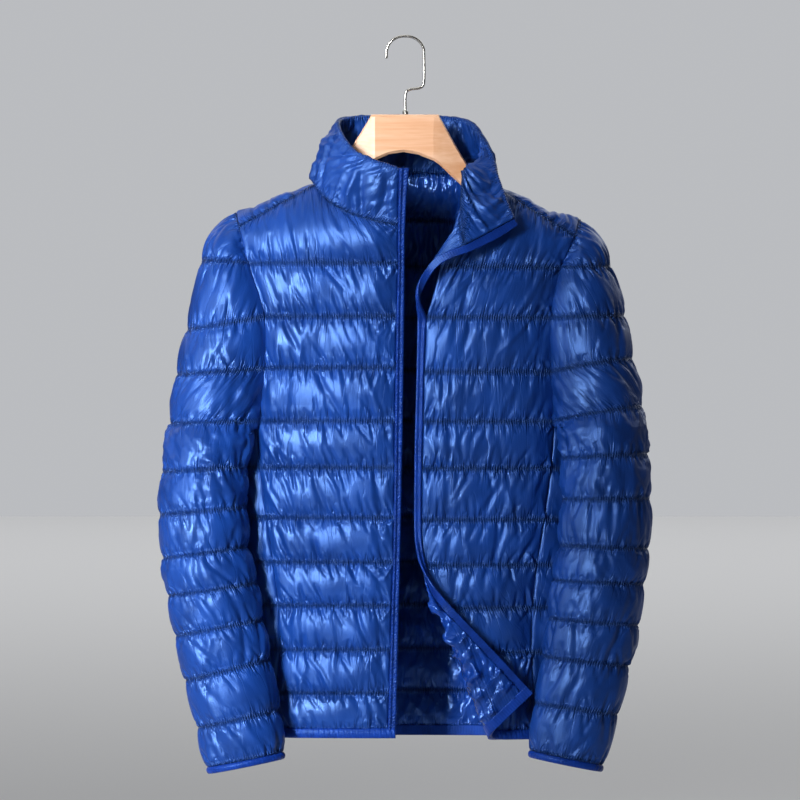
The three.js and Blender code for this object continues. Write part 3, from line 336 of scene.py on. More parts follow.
def round_back(start, end):
    """One row of the back, round the body from one side seam to the other."""
    steps = 160

    def reach(p):
        half = section_at(p[2])[0]
        a = math.acos(min(1, abs(p[0]) / half) ** (SECTION_POWER / 2))
        return -a if p[1] < 0 else a

    a0, a1 = math.pi - reach(start), reach(end)
    fine = []
    for k in range(steps + 1):
        t = k / steps
        a = mix(a0, a1, t)
        z = mix(start[2], end[2], t)
        half, front, back = section_at(z)
        e = 2 / SECTION_POWER
        x = half * math.copysign(abs(math.cos(a)) ** e, math.cos(a))
        bulge = abs(math.sin(a)) ** e
        fine.append((x, back * bulge if math.sin(a) >= 0 else -front * bulge, z))
    fine = np.array(fine)
    lengths = np.concatenate([[0], np.cumsum(np.linalg.norm(np.diff(fine, axis=0), axis=1))])
    share = mix(np.arange(steps + 1) / steps, lengths / lengths[-1], ROUND_SHARE)
    want = np.arange(BACK_COLUMNS + 1) / BACK_COLUMNS
    row = np.stack([np.interp(want, share, fine[:, c]) for c in range(3)], axis=1)
    row[0], row[-1] = start, end
    return row


def back_rows():
    """Rows of the back: the yokes over both shoulders, the upper back, then the quilt lines."""
    (lf, lb), (rf, rb) = ARMHOLE["left"], ARMHOLE["right"]
    rows = []
    for i, r in enumerate(LINE_ROWS):
        k = SHOULDER_ROWS + 3 + i
        start = lb[k] if i < 9 else on_front(r["sl"], r["zl"])
        end = rb[k] if i < 9 else on_front(r["sr"], r["zr"])
        rows.append(round_back(start, end))
    top = yoke_row("left") + [vec(p) for p in NECK_BACK] + yoke_row("right")[::-1]
    columns = []
    for j, p in enumerate(top):
        in_yoke = min(j, BACK_COLUMNS - j)
        side, sign = ("left", -1) if j < BACK_COLUMNS / 2 else ("right", 1)
        upper_side = vec(SHOULDER[side]["upper"])
        across = 2 * abs(j / BACK_COLUMNS - 0.5)
        depth = mix(BACK_TOP_DEPTH, upper_side[1], across**3)
        height = mix(BACK_TOP_HEIGHT, upper_side[2], across**2)
        upper = vec((rows[0][j][0] * 0.98, depth, height))
        if in_yoke == 0:
            upper = upper_side
        ridge = (p + upper) / 2
        if in_yoke <= YOKE_COLUMNS:
            near_neck = vec((sign * 115, -1, p[2] + (1.6 if in_yoke == YOKE_COLUMNS else 7)))
            ridge = mix(vec(SHOULDER[side]["ridge"]), near_neck, in_yoke / YOKE_COLUMNS)
        columns.append(spline_through([p, ridge, upper, rows[0][j]], [SHOULDER_ROWS, SHOULDER_ROWS, 3]))
    steps = 2 * SHOULDER_ROWS + 3
    patch = [np.array([c[i] for c in columns]) for i in range(steps)]
    for i in range(steps):
        before_ridge = i <= SHOULDER_ROWS
        k = SHOULDER_ROWS - i if before_ridge else i - SHOULDER_ROWS
        patch[i][0] = lf[k] if before_ridge else lb[k]
        patch[i][BACK_COLUMNS] = rf[k] if before_ridge else rb[k]
    return np.array(patch + rows)


def push_off_body(p, extra, sideways):
    """Moves a sleeve's point out until it is clear of the body."""
    half, front, back = section_at(p[2])
    sign = math.copysign(1, p[0])
    side = 0.9 if sideways else min(1, max(0, (p[1] + 42) / 40))
    for _ in range(120):
        depth = front if p[1] < 0 else back
        a, b = abs(p[0]) / (half + extra), abs(p[1]) / (depth + extra)
        if a**SECTION_POWER + b**SECTION_POWER >= 1:
            break
        p[0] += sign * side * 0.6
        p[1] -= (1 - side) * 0.6


def sleeve_rows(side):
    """A sleeve's rows from the armhole to the cuff, and the row where it closes under the arm."""
    front, back = ARMHOLE[side]
    table, cols, reach = SLEEVE[side], SLEEVE_COLUMNS, SHOULDER_ROWS + 3
    top = [(front[reach - j] if reach - j >= 0 else back[j - reach]).copy() for j in range(cols + 1)]

    def ring_at(r, start=UNDERARM_ANGLE, end=UNDERARM_ANGLE):
        ring = []
        for j in range(cols + 1):
            a = mix(start, 2 * math.pi + end, j / cols)
            cx, hx = (r["xo"] + r["xi"]) / 2, (r["xi"] - r["xo"]) / 2
            z = mix(r["zi"], r["zo"], (1 - math.cos(a)) / 2)
            ring.append(vec((cx + hx * math.cos(a), r["yc"] - r["hd"] * math.sin(a), z)))
        return ring

    def opened(r, at_front, at_back, share, start, end):
        ring = ring_at(r, start, end)
        df, db = at_front - ring[0], at_back - ring[-1]
        out = []
        for j, p in enumerate(ring):
            t = j / cols
            wf, wb = max(0, 1 - t / share) ** 1.6, max(0, 1 - (1 - t) / share) ** 1.6
            out.append(p + df * wf + db * wb)
        return out

    first = opened(table[0], front[reach], back[reach], 0.4, ARMHOLE_ANGLE, -ARMHOLE_ANGLE)
    rows = [top]
    for i in range(1, CHANNEL_ROWS):
        t = i / CHANNEL_ROWS
        row = []
        for j, p in enumerate(top):
            q = mix(p, first[j], t)
            lift = 7 * math.sin(math.pi * t) * math.sin(math.pi * j / cols)
            q[0] += -lift if side == "left" else lift
            q[2] += lift * 0.9
            row.append(q)
        rows.append(row)
    rows.append(first)
    for a, b in zip(table, table[1:]):
        for t in (1 / 3, 2 / 3, 1):
            r = {key: mix(a[key], b[key], t) for key in SLEEVE_KEYS}
            at = reach + len(rows) - CHANNEL_ROWS
            if at >= len(front):
                rows.append(ring_at(r))
                continue
            down = (at - reach) / (len(front) - 1 - reach)
            start = mix(ARMHOLE_ANGLE, UNDERARM_ANGLE, down)
            end = -ARMHOLE_ANGLE if down < 0.67 else mix(-ARMHOLE_ANGLE, UNDERARM_ANGLE, (down - 0.66) / 0.34)
            rows.append(opened(r, front[at], back[at], 0.3, start, end))
    underarm = len(front) - 1 - reach + CHANNEL_ROWS
    for i, row in enumerate(rows):
        step = i - underarm + 2
        if step < 0:
            continue
        extra = UNDERARM_CLEARANCE[step] if step < len(UNDERARM_CLEARANCE) else BODY_CLEARANCE
        for j, p in enumerate(row):
            pinned = i <= underarm and (j in (0, cols) or j < cols / 2)
            if not pinned:
                push_off_body(p, extra, i <= underarm)
    for i in range(CHANNEL_ROWS):
        rows[i][0], rows[i][cols] = rows[CHANNEL_ROWS][0].copy(), rows[CHANNEL_ROWS][cols].copy()
    return np.array(rows), underarm


def refine(grid, steps, axis, ghosts=None):
    """A grid with more points along one axis, on smooth curves through its own points."""
    g = np.moveaxis(np.asarray(grid, float), axis, 0)
    spans = len(g) - 1
    counts = [steps] * spans if isinstance(steps, int) else steps
    first, last = (2 * g[0] - g[1], 2 * g[-1] - g[-2]) if ghosts is None else ghosts
    g = np.concatenate([first[None], g, last[None]])
    gap = np.maximum(np.linalg.norm(np.diff(g, axis=0), axis=-1, keepdims=True), 1e-3) ** 0.7
    out = [g[1:2]]
    for s, count in enumerate(counts):
        p0, p1, p2, p3 = g[s : s + 4]
        d0, d1, d2 = gap[s : s + 3]
        t = (np.arange(1, count + 1) / count).reshape((-1,) + (1,) * (g.ndim - 1))
        m1 = d1 * ((p1 - p0) / d0 - (p2 - p0) / (d0 + d1) + (p2 - p1) / d1)
        m2 = d1 * ((p2 - p1) / d1 - (p3 - p1) / (d1 + d2) + (p3 - p2) / d2)
        c, d = 3 * (p2 - p1) - 2 * m1 - m2, 2 * (p1 - p2) + m1 + m2
        out.append(p1 + m1 * t + c * t**2 + d * t**3)
    return np.moveaxis(np.concatenate(out), 0, axis)


def grid_normals(grid, turn, joined=None):
    """Unit normals of a grid. joined says which rows close on themselves."""
    across = np.gradient(grid, axis=1)
    if joined is not None:
        wrapped = grid[:, 1] - grid[:, -2]
        across[joined, 0] = across[joined, -1] = wrapped[joined] / 2
    down = np.gradient(grid, axis=0)
    n = np.cross(across, down) * turn
    weak = np.linalg.norm(n, axis=-1) < 1e-9
    n = unit(n)
    for i, j in np.argwhere(weak):
        n[i, j] = n[min(i + 1, len(n) - 1), min(max(j, 1), n.shape[1] - 2)]
    return unit(n)


def along_rows(grid):
    """Length along each row, from its middle column, in mm."""
    steps = np.linalg.norm(np.diff(grid, axis=1), axis=-1)
    lengths = np.concatenate([np.zeros((len(grid), 1)), np.cumsum(steps, axis=1)], axis=1)
    return lengths - lengths[:, grid.shape[1] // 2 : grid.shape[1] // 2 + 1]


# Small folds that run off a stitch line: how long they are as shares of the channel, how often,
# how wide and tall in mm, and how far apart.
FOLD_KINDS = (
    {"long": (0.08, 0.22), "wide": (1.0, 1.4), "tall": (-1.9, -0.9), "apart": (3.4, 6.2)},
    {"long": (0.22, 0.55), "wide": (1.2, 1.9), "tall": (-2.3, -1.1), "apart": (8.0, 17.0)},
    {"long": (0.55, 1.05), "wide": (2.4, 4.2), "tall": (-2.4, 1.7), "apart": (20.0, 42.0)},
)
# The collar's folds are longer and deeper, with none of the finest.
STRONG_KINDS = (
    {"long": (0.15, 0.4), "wide": (1.2, 2.0), "tall": (-2.2, -1.0), "apart": (5.0, 10.0)},
    {"long": (0.5, 1.1), "wide": (2.2, 3.6), "tall": (-3.2, 2.6), "apart": (13.0, 24.0)},
)


def gathers(along, channel, height, seed, amount=1.0, leans=(-0.05, 0.22), kinds=FOLD_KINDS):
    """Small folds that run off both sides of each stitch line, in mm, over a fine grid."""
    rng = np.random.default_rng(seed)
    field = np.zeros_like(along)
    for k in range(int(math.floor(channel.min())), int(math.ceil(channel.max()))):
        rows = np.where((channel >= k) & (channel <= k + 1))[0]
        if len(rows) < 2:
            continue
        u = along[rows]
        share = (channel[rows] - k)[:, None]
        for kind in kinds:
            for from_top in (True, False):
                d = (share if from_top else 1 - share) * height
                at = u.min() - rng.uniform(0, 8)
                while at < u.max() + 5:
                    length = height * rng.uniform(*kind["long"])
                    lean = rng.normal(leans[0 if from_top else 1], 0.22)
                    phase = rng.uniform(0, 6.28)
                    line = at + lean * d + 1.3 * np.sin(d / height * 5.0 + phase)
                    width = rng.uniform(*kind["wide"]) + d * 0.03
                    fade = np.clip(1 - d / length, 0, 1) ** 0.6 * np.clip(d / 1.5, 0, 1)
                    tall = rng.uniform(*kind["tall"]) * amount
                    field[rows] += tall * np.exp(-(((u - line) / width) ** 2)) * fade
                    at += rng.uniform(*kind["apart"])
    return field


def corner_folds(along, channel, height, seed, at_start, amount=1.0):
    """Folds that fan out from the ends of the stitch lines beside an edge seam, in mm."""
    rng = np.random.default_rng(seed)
    field = np.zeros_like(along)
    from_edge = along - along[:, :1] if at_start else along[:, -1:] - along
    for k in range(int(math.floor(channel.min())), int(math.ceil(channel.max()))):
        rows = np.where((channel >= k) & (channel <= k + 1))[0]
        if len(rows) < 2:
            continue
        e, share = from_edge[rows], (channel[rows] - k)[:, None]
        for from_top in (True, False):
            d = (share if from_top else 1 - share) * height
            reach, turn = np.hypot(e, d), np.arctan2(d, e + 1e-6)
            angle = rng.uniform(0.25, 0.4)
            while angle < 1.35:
                length = rng.uniform(14, 34)
                fade = np.clip(1 - reach / length, 0, 1) ** 0.6 * np.clip(reach / 5, 0, 1)
                tall = rng.choice([-1.0, 1.0]) * rng.uniform(1.0, 2.2) * amount
                field[rows] += tall * np.exp(-(((turn - angle) * reach / rng.uniform(1.3, 2.0)) ** 2)) * fade
                angle += rng.uniform(0.22, 0.4)
    return field


def crumple(base, seed, size, tall):
    """Sharp-ridged creases in all directions, as in a thin shiny lining, in mm."""
    rng = np.random.default_rng(seed)
    u = along_rows(base)
    v = along_rows(np.swapaxes(base, 0, 1)).T
    field = np.zeros(u.shape)
    for _ in range(7):
        angle, length, phase = rng.uniform(-1.3, 1.3), size * rng.uniform(0.6, 1.7), rng.uniform(0, 6.28)
        across = u * math.cos(angle) + v * math.sin(angle)
        bend = 0.9 * np.sin((u * math.sin(angle) - v * math.cos(angle)) / (size * 0.8) + phase * 2)
        field += 0.6 - np.abs(np.sin(math.pi * across / length + bend + phase)) ** 0.7
    return tall * np.tanh(field / 1.4)


def lumps(along, channel, seed, size=26.0):
    """Slow uneven swell of the filling, from 0.75 to 1.15."""
    rng = np.random.default_rng(seed)
    total = np.zeros_like(along)
    for _ in range(7):
        f, g, a = rng.uniform(0.5, 1.4) / size, rng.uniform(0.3, 1.1), rng.uniform(0, 6.28)
        total += np.sin(along * f * 2 + channel[:, None] * g * 2 + a)
    return 0.95 + 0.2 * np.tanh(total / 3)


# Sheets of cloth: a grid is laid on the surface, its stitch lines and edges are held, and the rest is
# blown up.
sheets = []


def lay_sheet(name, base, normals, channel, lift, held, excess=0.0, room=3.0, folds=0.0):
    """Makes the grid mesh of one panel, lifted off its base, and keeps what its shaping needs."""
    rows, cols = base.shape[:2]
    bm = bmesh.new()
    uv = bm.loops.layers.uv.new("cloth")
    ids = bm.verts.layers.int.new("place")
    bmesh.ops.create_grid(bm, x_segments=cols - 1, y_segments=rows - 1, size=1.0)
    start = base + normals * lift[..., None]
    along = along_rows(base)
    for v in bm.verts:
        i = round((1 - v.co.y) / 2 * (rows - 1))
        j = round((v.co.x + 1) / 2 * (cols - 1))
        v[ids] = i * cols + j
    for face in bm.faces:
        for loop in face.loops:
            i, j = divmod(loop.vert[ids], cols)
            loop[uv].uv = (along[i, j] * MM, channel[i])
    flat = start.reshape(-1, 3) * MM
    for v in bm.verts:
        v.co = flat[v[ids]]
    bm.faces.ensure_lookup_table()
    middle = bm.faces[len(bm.faces) // 2]
    middle.normal_update()
    i, j = divmod(middle.verts[0][ids], cols)
    if middle.normal.dot(Vector(normals[i, j])) < 0:
        bmesh.ops.reverse_faces(bm, faces=bm.faces)
    bmesh.ops.remove_doubles(bm, verts=bm.verts, dist=2e-5)
    mesh = bpy.data.meshes.new(name)
    bm.to_mesh(mesh)
    bm.free()
    obj = bpy.data.objects.new(name, mesh)
    bpy.context.scene.collection.objects.link(obj)
    place = np.array([d.value for d in mesh.attributes["place"].data])
    pins = obj.vertex_groups.new(name="held")
    pins.add([int(v) for v in np.where(held.reshape(-1)[place])[0]], 1.0, "REPLACE")
    sheet = {
        "object": obj, "place": place, "base": base.reshape(-1, 3), "normal": normals.reshape(-1, 3),
        "shape": (rows, cols), "room": room, "excess": excess, "lift": lift.reshape(-1),
        "folds": (folds + np.zeros(lift.shape)).reshape(-1),
    }
    sheets.append(sheet)
    return sheet


CLOTH_FRAMES = 16
PRESSURE = 0.9
MOST_SLIDE = 4.5
LEAST_LIFT = 0.8
FOLDS_KEPT = 0.8


def blow_up(kept):
    """Blows up all the sheets at once, held on their stitch lines and under pressure.

    No point slides or rises past its limit, and the finer folds, which the pressure smooths, are added back.
    """
    for sheet in kept:
        obj = sheet["object"]
        cloth = obj.modifiers.new("cloth", "CLOTH")
        s = cloth.settings
        s.quality = 4
        s.vertex_group_mass = "held"
        s.use_pressure = True
        s.uniform_pressure_force = PRESSURE
        s.shrink_min = -sheet["excess"]
        s.tension_stiffness = s.compression_stiffness = 15
        s.shear_stiffness = 5
        s.bending_stiffness = 0.06
        s.mass = 0.15
        s.tension_damping = s.compression_damping = s.shear_damping = 5
        s.bending_damping = 0.5
        s.effector_weights.gravity = 0.0
        cloth.collision_settings.use_collision = False
    scene = bpy.context.scene
    for f in range(1, CLOTH_FRAMES + 1):
        scene.frame_set(f)
    graph = bpy.context.evaluated_depsgraph_get()
    for sheet in kept:
        obj = sheet["object"]
        mesh = obj.evaluated_get(graph).data
        co = np.zeros(len(mesh.vertices) * 3)
        mesh.vertices.foreach_get("co", co)
        co = co.reshape(-1, 3) / MM
        base, normal = sheet["base"][sheet["place"]], sheet["normal"][sheet["place"]]
        moved = co - base
        up = np.sum(moved * normal, axis=1)
        sideways = moved - normal * up[:, None]
        slide = np.linalg.norm(sideways, axis=1, keepdims=True)
        sideways *= np.minimum(1, MOST_SLIDE / np.maximum(slide, 1e-6))
        most = sheet["lift"][sheet["place"]] + sheet["room"]
        up = np.where(up > most, most + 0.6 * np.tanh(up - most), up)
        up = np.maximum(up + FOLDS_KEPT * sheet["folds"][sheet["place"]], LEAST_LIFT)
        co = (base + sideways + normal * up[:, None]) * MM
        obj.modifiers.remove(obj.modifiers["cloth"])
        obj.data.vertices.foreach_set("co", co.reshape(-1))
        obj.data.update()
    scene.frame_set(1)


def close_sheet(sheet, inner=0.0):
    """Gives a blown-up sheet its plain inside and its edges, as one closed padded wall."""
    obj = sheet["object"]
    bm = bmesh.new()
    bm.from_mesh(obj.data)
    ids = bm.verts.layers.int["place"]
    made = bmesh.ops.extrude_face_region(bm, geom=bm.faces[:], use_keep_orig=True)
    inside = (sheet["base"] - sheet["normal"] * inner) * MM
    for item in made["geom"]:
        if isinstance(item, bmesh.types.BMVert):
            item.co = inside[item[ids]]
    bmesh.ops.recalc_face_normals(bm, faces=bm.faces)
    for face in bm.faces:
        face.smooth = True
    bm.to_mesh(obj.data)
    bm.free()
    obj.vertex_groups.clear()
    return obj


def put(obj, nodes, material):
    """Rides a finished piece on the body, in place of its solids."""
    obj.data.materials.clear()
    obj.data.materials.append(material)
    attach(obj, "root")
    if nodes:
        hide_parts(*nodes)
    return obj


# Materials.
def linear(code):
    """sRGB hex to a linear colour."""
    parts = [int(code[i : i + 2], 16) / 255 for i in (0, 2, 4)]
    return [c / 12.92 if c <= 0.04045 else ((c + 0.055) / 1.055) ** 2.4 for c in parts] + [1.0]


def new_material(name):
    material = bpy.data.materials.new(name)
    material.use_nodes = True
    tree = material.node_tree
    return material, tree, tree.nodes["Principled BSDF"]


def add(tree, kind, settings=None, **links):
    """Adds one node, with its settings and with values or links on its inputs, as i0=, i1= or by name."""
    node = tree.nodes.new(kind)
    for key, value in (settings or {}).items():
        setattr(node, key, value)
    for key, value in links.items():
        by_number = key[0] == "i" and key[1:].isdigit()
        socket = node.inputs[int(key[1:]) if by_number else key.replace("_", " ")]
        if isinstance(value, bpy.types.NodeSocket):
            tree.links.new(value, socket)
        else:
            socket.default_value = value
    return node


# The fabrics' shine is tinted, because the jacket's highlights are light blue and not white.
SHEEN = "80b0ff"
MULTIPLIED = {"data_type": "RGBA", "blend_type": "MULTIPLY"}
# Thin creases in the nylon's bump: how dense they are, how drawn out down the channel, how wide, how tall,
# and how slanting.
CREASES = (
    {"scale": 60.0, "stretch": 0.012, "width": 0.03, "tall": 1.0, "slant": 0.005},
    {"scale": 170.0, "stretch": 0.008, "width": 0.07, "tall": 0.35, "slant": -0.004},
)


def set_ramp(ramp, *stops):
    """Puts a ramp's ends at the given places and hex colours."""
    for element, (position, colour) in zip(ramp.color_ramp.elements, stops):
        element.position, element.color = position, linear(colour)


def nylon(name, colour, deep, roughness, crease, density=1.0):
    """Down-proof nylon taffeta, calendered: a tight plain weave with a satin shine and fine sharp creases."""
    material, tree, shader = new_material(name)
    cloth = add(tree, "ShaderNodeUVMap", {"uv_map": "cloth"})
    place = add(tree, "ShaderNodeTexCoord")
    # The yarns are 0.1 mm apart, drawn at 1 mm so that they show.
    weave = add(tree, "ShaderNodeTexNoise", Vector=place.outputs["Object"], Scale=900.0, Detail=1.0)
    soft = add(tree, "ShaderNodeTexNoise", Vector=place.outputs["Object"], Scale=22.0, Detail=2.0)
    tone = add(tree, "ShaderNodeValToRGB", i0=soft.outputs[0])
    set_ramp(tone, (0.3, deep), (0.7, colour))
    # Stitch lines lie where the channel number is whole; near is 0 there and 0.5 half-way between.
    channel = add(tree, "ShaderNodeSeparateXYZ", i0=cloth.outputs[0])
    near = add(tree, "ShaderNodeMath", {"operation": "PINGPONG"}, i0=channel.outputs[1], i1=0.5)
    # Painted shade: the base colour is darkened for 4 mm to each side of the stitches, where the gathered
    # cloth lies in shadow.
    painted_stitch_shade = add(tree, "ShaderNodeMapRange", i0=near.outputs[0], i1=0.004, i2=0.07, i3=0.6, i4=1.0)
    shade = add(tree, "ShaderNodeMix", MULTIPLIED, i0=1.0, i6=tone.outputs[0], i7=painted_stitch_shade.outputs[0])
    tree.links.new(shade.outputs[2], shader.inputs["Base Color"])
    # Sharp creases 3 to 8 mm apart run off the stitch lines, where a drawn-out noise passes its middle.
    valleys = []
    for kind in CREASES:
        laid = add(
            tree, "ShaderNodeMapping", i0=cloth.outputs[0], i2=(0.0, 0.0, kind["slant"]),
            i3=(density, kind["stretch"], 1.0),
        )
        field = add(tree, "ShaderNodeTexNoise", Vector=laid.outputs[0], Scale=kind["scale"], Detail=2.0)
        off = add(tree, "ShaderNodeMath", {"operation": "SUBTRACT"}, i0=field.outputs[0], i1=0.5)
        size = add(tree, "ShaderNodeMath", {"operation": "ABSOLUTE"}, i0=off.outputs[0])
        valley = add(tree, "ShaderNodeMapRange", i0=size.outputs[0], i2=kind["width"], i4=kind["tall"])
        valleys.append(valley.outputs[0])
    height = add(tree, "ShaderNodeMath", {"operation": "ADD"}, i0=valleys[0], i1=valleys[1])
    times = {"operation": "MULTIPLY"}
    strength = add(tree, "ShaderNodeMapRange", i0=near.outputs[0], i1=0.02, i2=0.3, i3=1.0, i4=0.15)
    fold = add(tree, "ShaderNodeMath", times, i0=height.outputs[0], i1=strength.outputs[0])
    # Crimps 3 mm apart lie right beside the stitches.
    crimp = add(
        tree, "ShaderNodeTexWave", {"bands_direction": "X"}, Vector=cloth.outputs[0], Scale=105.0,
        Distortion=2.5, Detail=1.0,
    )
    beside = add(tree, "ShaderNodeMapRange", i0=near.outputs[0], i1=0.01, i2=0.1, i3=1.4, i4=0.0)
    pucker = add(tree, "ShaderNodeMath", times, i0=crimp.outputs["Fac"], i1=beside.outputs[0])
    both = add(tree, "ShaderNodeMath", {"operation": "ADD"}, i0=fold.outputs[0], i1=pucker.outputs[0])
    bump = add(tree, "ShaderNodeBump", Strength=crease, Distance=0.0012, Height=both.outputs[0])
    grain = add(
        tree, "ShaderNodeBump", Strength=0.1, Distance=0.0003, Height=weave.outputs[0],
        Normal=bump.outputs[0],
    )
    tree.links.new(grain.outputs[0], shader.inputs["Normal"])
    dull, bright = roughness * 1.1, roughness * 0.9
    polish = add(tree, "ShaderNodeMapRange", i0=soft.outputs[0], i1=0.3, i2=0.7, i3=bright, i4=dull)
    tree.links.new(polish.outputs[0], shader.inputs["Roughness"])
    # Nylon's index is about 1.53. A little more gives the pressed face its shine.
    shader.inputs["IOR"].default_value = 1.6
    shader.inputs["Specular IOR Level"].default_value = 0.8
    shader.inputs["Specular Tint"].default_value = linear(SHEEN)
    return material


def tape_cloth(name, colour, deep, ribs, slant, roughness):
    """Woven polyester: ribs lie across the strip at whole steps of its map, over a fine weave."""
    material, tree, shader = new_material(name)
    place = add(tree, "ShaderNodeTexCoord")
    cloth = add(tree, "ShaderNodeUVMap", {"uv_map": "cloth"})
    # One rib a step, as over a zip's coil or in gathered elastic, leaning by slant.
    laid = add(tree, "ShaderNodeMapping", i0=cloth.outputs[0], i2=(0.0, 0.0, slant), i3=(300.0, 1.0, 1.0))
    rib = add(
        tree, "ShaderNodeTexWave", {"bands_direction": "Y"}, Vector=laid.outputs[0], Scale=0.314,
        Distortion=0.5, Detail=1.0,
    )
    # The yarns are 0.3 mm apart, drawn at 0.8 mm so that they show.
    weave = add(tree, "ShaderNodeTexNoise", Vector=place.outputs["Object"], Scale=1200.0, Detail=1.0)
    soft = add(tree, "ShaderNodeTexNoise", Vector=place.outputs["Object"], Scale=60.0, Detail=3.0)
    tone = add(tree, "ShaderNodeValToRGB", i0=soft.outputs[0])
    set_ramp(tone, (0.3, deep), (0.7, colour))
    # Painted shade: the base colour is darker in each rib's groove, down to 1 - ribs / 2 of its tone.
    painted_rib_shade = add(tree, "ShaderNodeMapRange", i0=rib.outputs["Fac"], i3=1.0 - 0.5 * ribs, i4=1.05)
    shade = add(tree, "ShaderNodeMix", MULTIPLIED, i0=1.0, i6=tone.outputs[0], i7=painted_rib_shade.outputs[0])
    tree.links.new(shade.outputs[2], shader.inputs["Base Color"])
    bump = add(tree, "ShaderNodeBump", Strength=ribs, Distance=0.0012, Height=rib.outputs["Fac"])
    grain = add(
        tree, "ShaderNodeBump", Strength=0.25, Distance=0.0003, Height=weave.outputs[0],
        Normal=bump.outputs[0],
    )
    tree.links.new(grain.outputs[0], shader.inputs["Normal"])
    shader.inputs["Roughness"].default_value = roughness
    shader.inputs["Specular IOR Level"].default_value = 0.4
    shader.inputs["Specular Tint"].default_value = linear(SHEEN)
    return material


def wood_finish(name):
    """Lotus wood, sanded and clear-lacquered: pale, warm, with fine straight grain and a satin coat."""
    material, tree, shader = new_material(name)
    place = add(tree, "ShaderNodeTexCoord")
    # Grain lines are 1 to 3 mm apart and run along the hanger.
    long = add(tree, "ShaderNodeMapping", i0=place.outputs["Object"], i3=(0.06, 1.0, 1.0))
    grain = add(tree, "ShaderNodeTexNoise", Vector=long.outputs[0], Scale=420.0, Detail=4.0, Roughness=0.55)
    broad = add(tree, "ShaderNodeTexNoise", Vector=long.outputs[0], Scale=60.0, Detail=2.0)
    both = add(
        tree, "ShaderNodeMath", {"operation": "MULTIPLY_ADD"}, i0=grain.outputs[0], i1=0.5,
        i2=broad.outputs[0],
    )
    tone = add(tree, "ShaderNodeValToRGB", i0=both.outputs[0])
    set_ramp(tone, (0.5, "d0986f"), (0.95, "e4b998"))
    tree.links.new(tone.outputs[0], shader.inputs["Base Color"])
    bump = add(tree, "ShaderNodeBump", Strength=0.1, Distance=0.0003, Height=grain.outputs[0])
    tree.links.new(bump.outputs[0], shader.inputs["Normal"])
    shader.inputs["Roughness"].default_value = 0.42
    shader.inputs["Coat Weight"].default_value = 0.3
    shader.inputs["Coat Roughness"].default_value = 0.25
    return material


def plated_steel(name):
    """Steel wire, nickel-plated and polished: bright, with faint drawing marks."""
    material, tree, shader = new_material(name)
    place = add(tree, "ShaderNodeTexCoord")
    marks = add(tree, "ShaderNodeTexNoise", Vector=place.outputs["Object"], Scale=700.0, Detail=2.0)
    polish = add(tree, "ShaderNodeMapRange", i0=marks.outputs[0], i1=0.3, i2=0.7, i3=0.16, i4=0.3)
    tree.links.new(polish.outputs[0], shader.inputs["Roughness"])
    shader.inputs["Base Color"].default_value = linear("c9c6c0")
    shader.inputs["Metallic"].default_value = 1.0
    return material


# Deep blue with a silky sheen that breaks up at every crease.
SHELL = nylon("calendered nylon taffeta shell", "0e3785", "0a2a6a", 0.4, 0.85)
# The same cloth, pressed harder: glossier, so that its crumples catch small sharp lights.
LINING = nylon("high-gloss nylon taffeta lining", "103a94", "0a2868", 0.24, 1.0, 0.7)
# Darker and less shiny than the shell, with the coil's slanting ribs under it.
TAPE = tape_cloth("woven polyester zip tape over its coil", "0f3082", "0a2468", 0.36, 0.5, 0.34)
# The same tape from its flat side: smooth and dark, with a soft shine along it.
SMOOTH_TAPE = tape_cloth("woven polyester zip tape, flat side", "0f3082", "0a2468", 0.1, 0.0, 0.32)
# A satin elastic strip, a shade lighter than the tape, with faint ribs where it draws in.
BINDING = tape_cloth("woven elastic polyester binding", "113690", "0b2872", 0.12, 0.0, 0.42)
# Pale and warm, with fine straight grain under a soft shine.
WOOD_FINISH = wood_finish("lacquered pale lotus wood")
# Bright and cold, with sharp reflections that the drawing marks break up.
STEEL = plated_steel("nickel-plated steel wire")


# How a padded panel stands off its base, in mm: the puff between stitch lines, how square its pillows are,
# the height at the stitches, and how far from a side seam the puff and the gathers reach their full height.
PUFF = 7.6
PILLOW = 0.62
STITCH_LIFT = 2.0
PUFF_EDGE = 26
FOLD_EDGE = 6
CHANNEL_HEIGHT = 60.0


def edge_distance(base):
    """Distance of each point to the nearer end of its row, in mm."""
    along = along_rows(base)
    return np.minimum(along - along[:, :1], along[:, -1:] - along)


def lifted(base, channel, full, seed, ends=True, amount=1.0, leans=(-0.05, 0.22)):
    """Starting height over the base: pillows between the stitch lines. Also the gathers, by themselves."""
    f = channel - np.floor(channel)
    shape = (4 * f * (1 - f)) ** PILLOW
    rise = full * lumps(along_rows(base), channel, seed)
    folds = gathers(along_rows(base), channel, CHANNEL_HEIGHT, seed + 1, amount, leans)
    if ends:
        rise = rise * np.sqrt(np.minimum(1, edge_distance(base) / PUFF_EDGE))
        folds *= np.minimum(1, edge_distance(base) / FOLD_EDGE)
    return STITCH_LIFT + rise * shape[:, None], folds


def on_lines(channel, cols):
    """Which points of a grid are sewn down."""
    whole = np.abs(channel - np.round(channel)) < 1e-6
    return np.repeat(whole[:, None], cols, axis=1)


def held_away(channel):
    """0 on a stitch line, and 1 from a tenth of a channel off it."""
    return np.clip(np.abs(channel - np.round(channel)) / 0.1, 0, 1)


def and_edges(held):
    """The points that are held, with the panel's four edges."""
    held[0] = held[-1] = True
    held[:, 0] = held[:, -1] = True
    return held


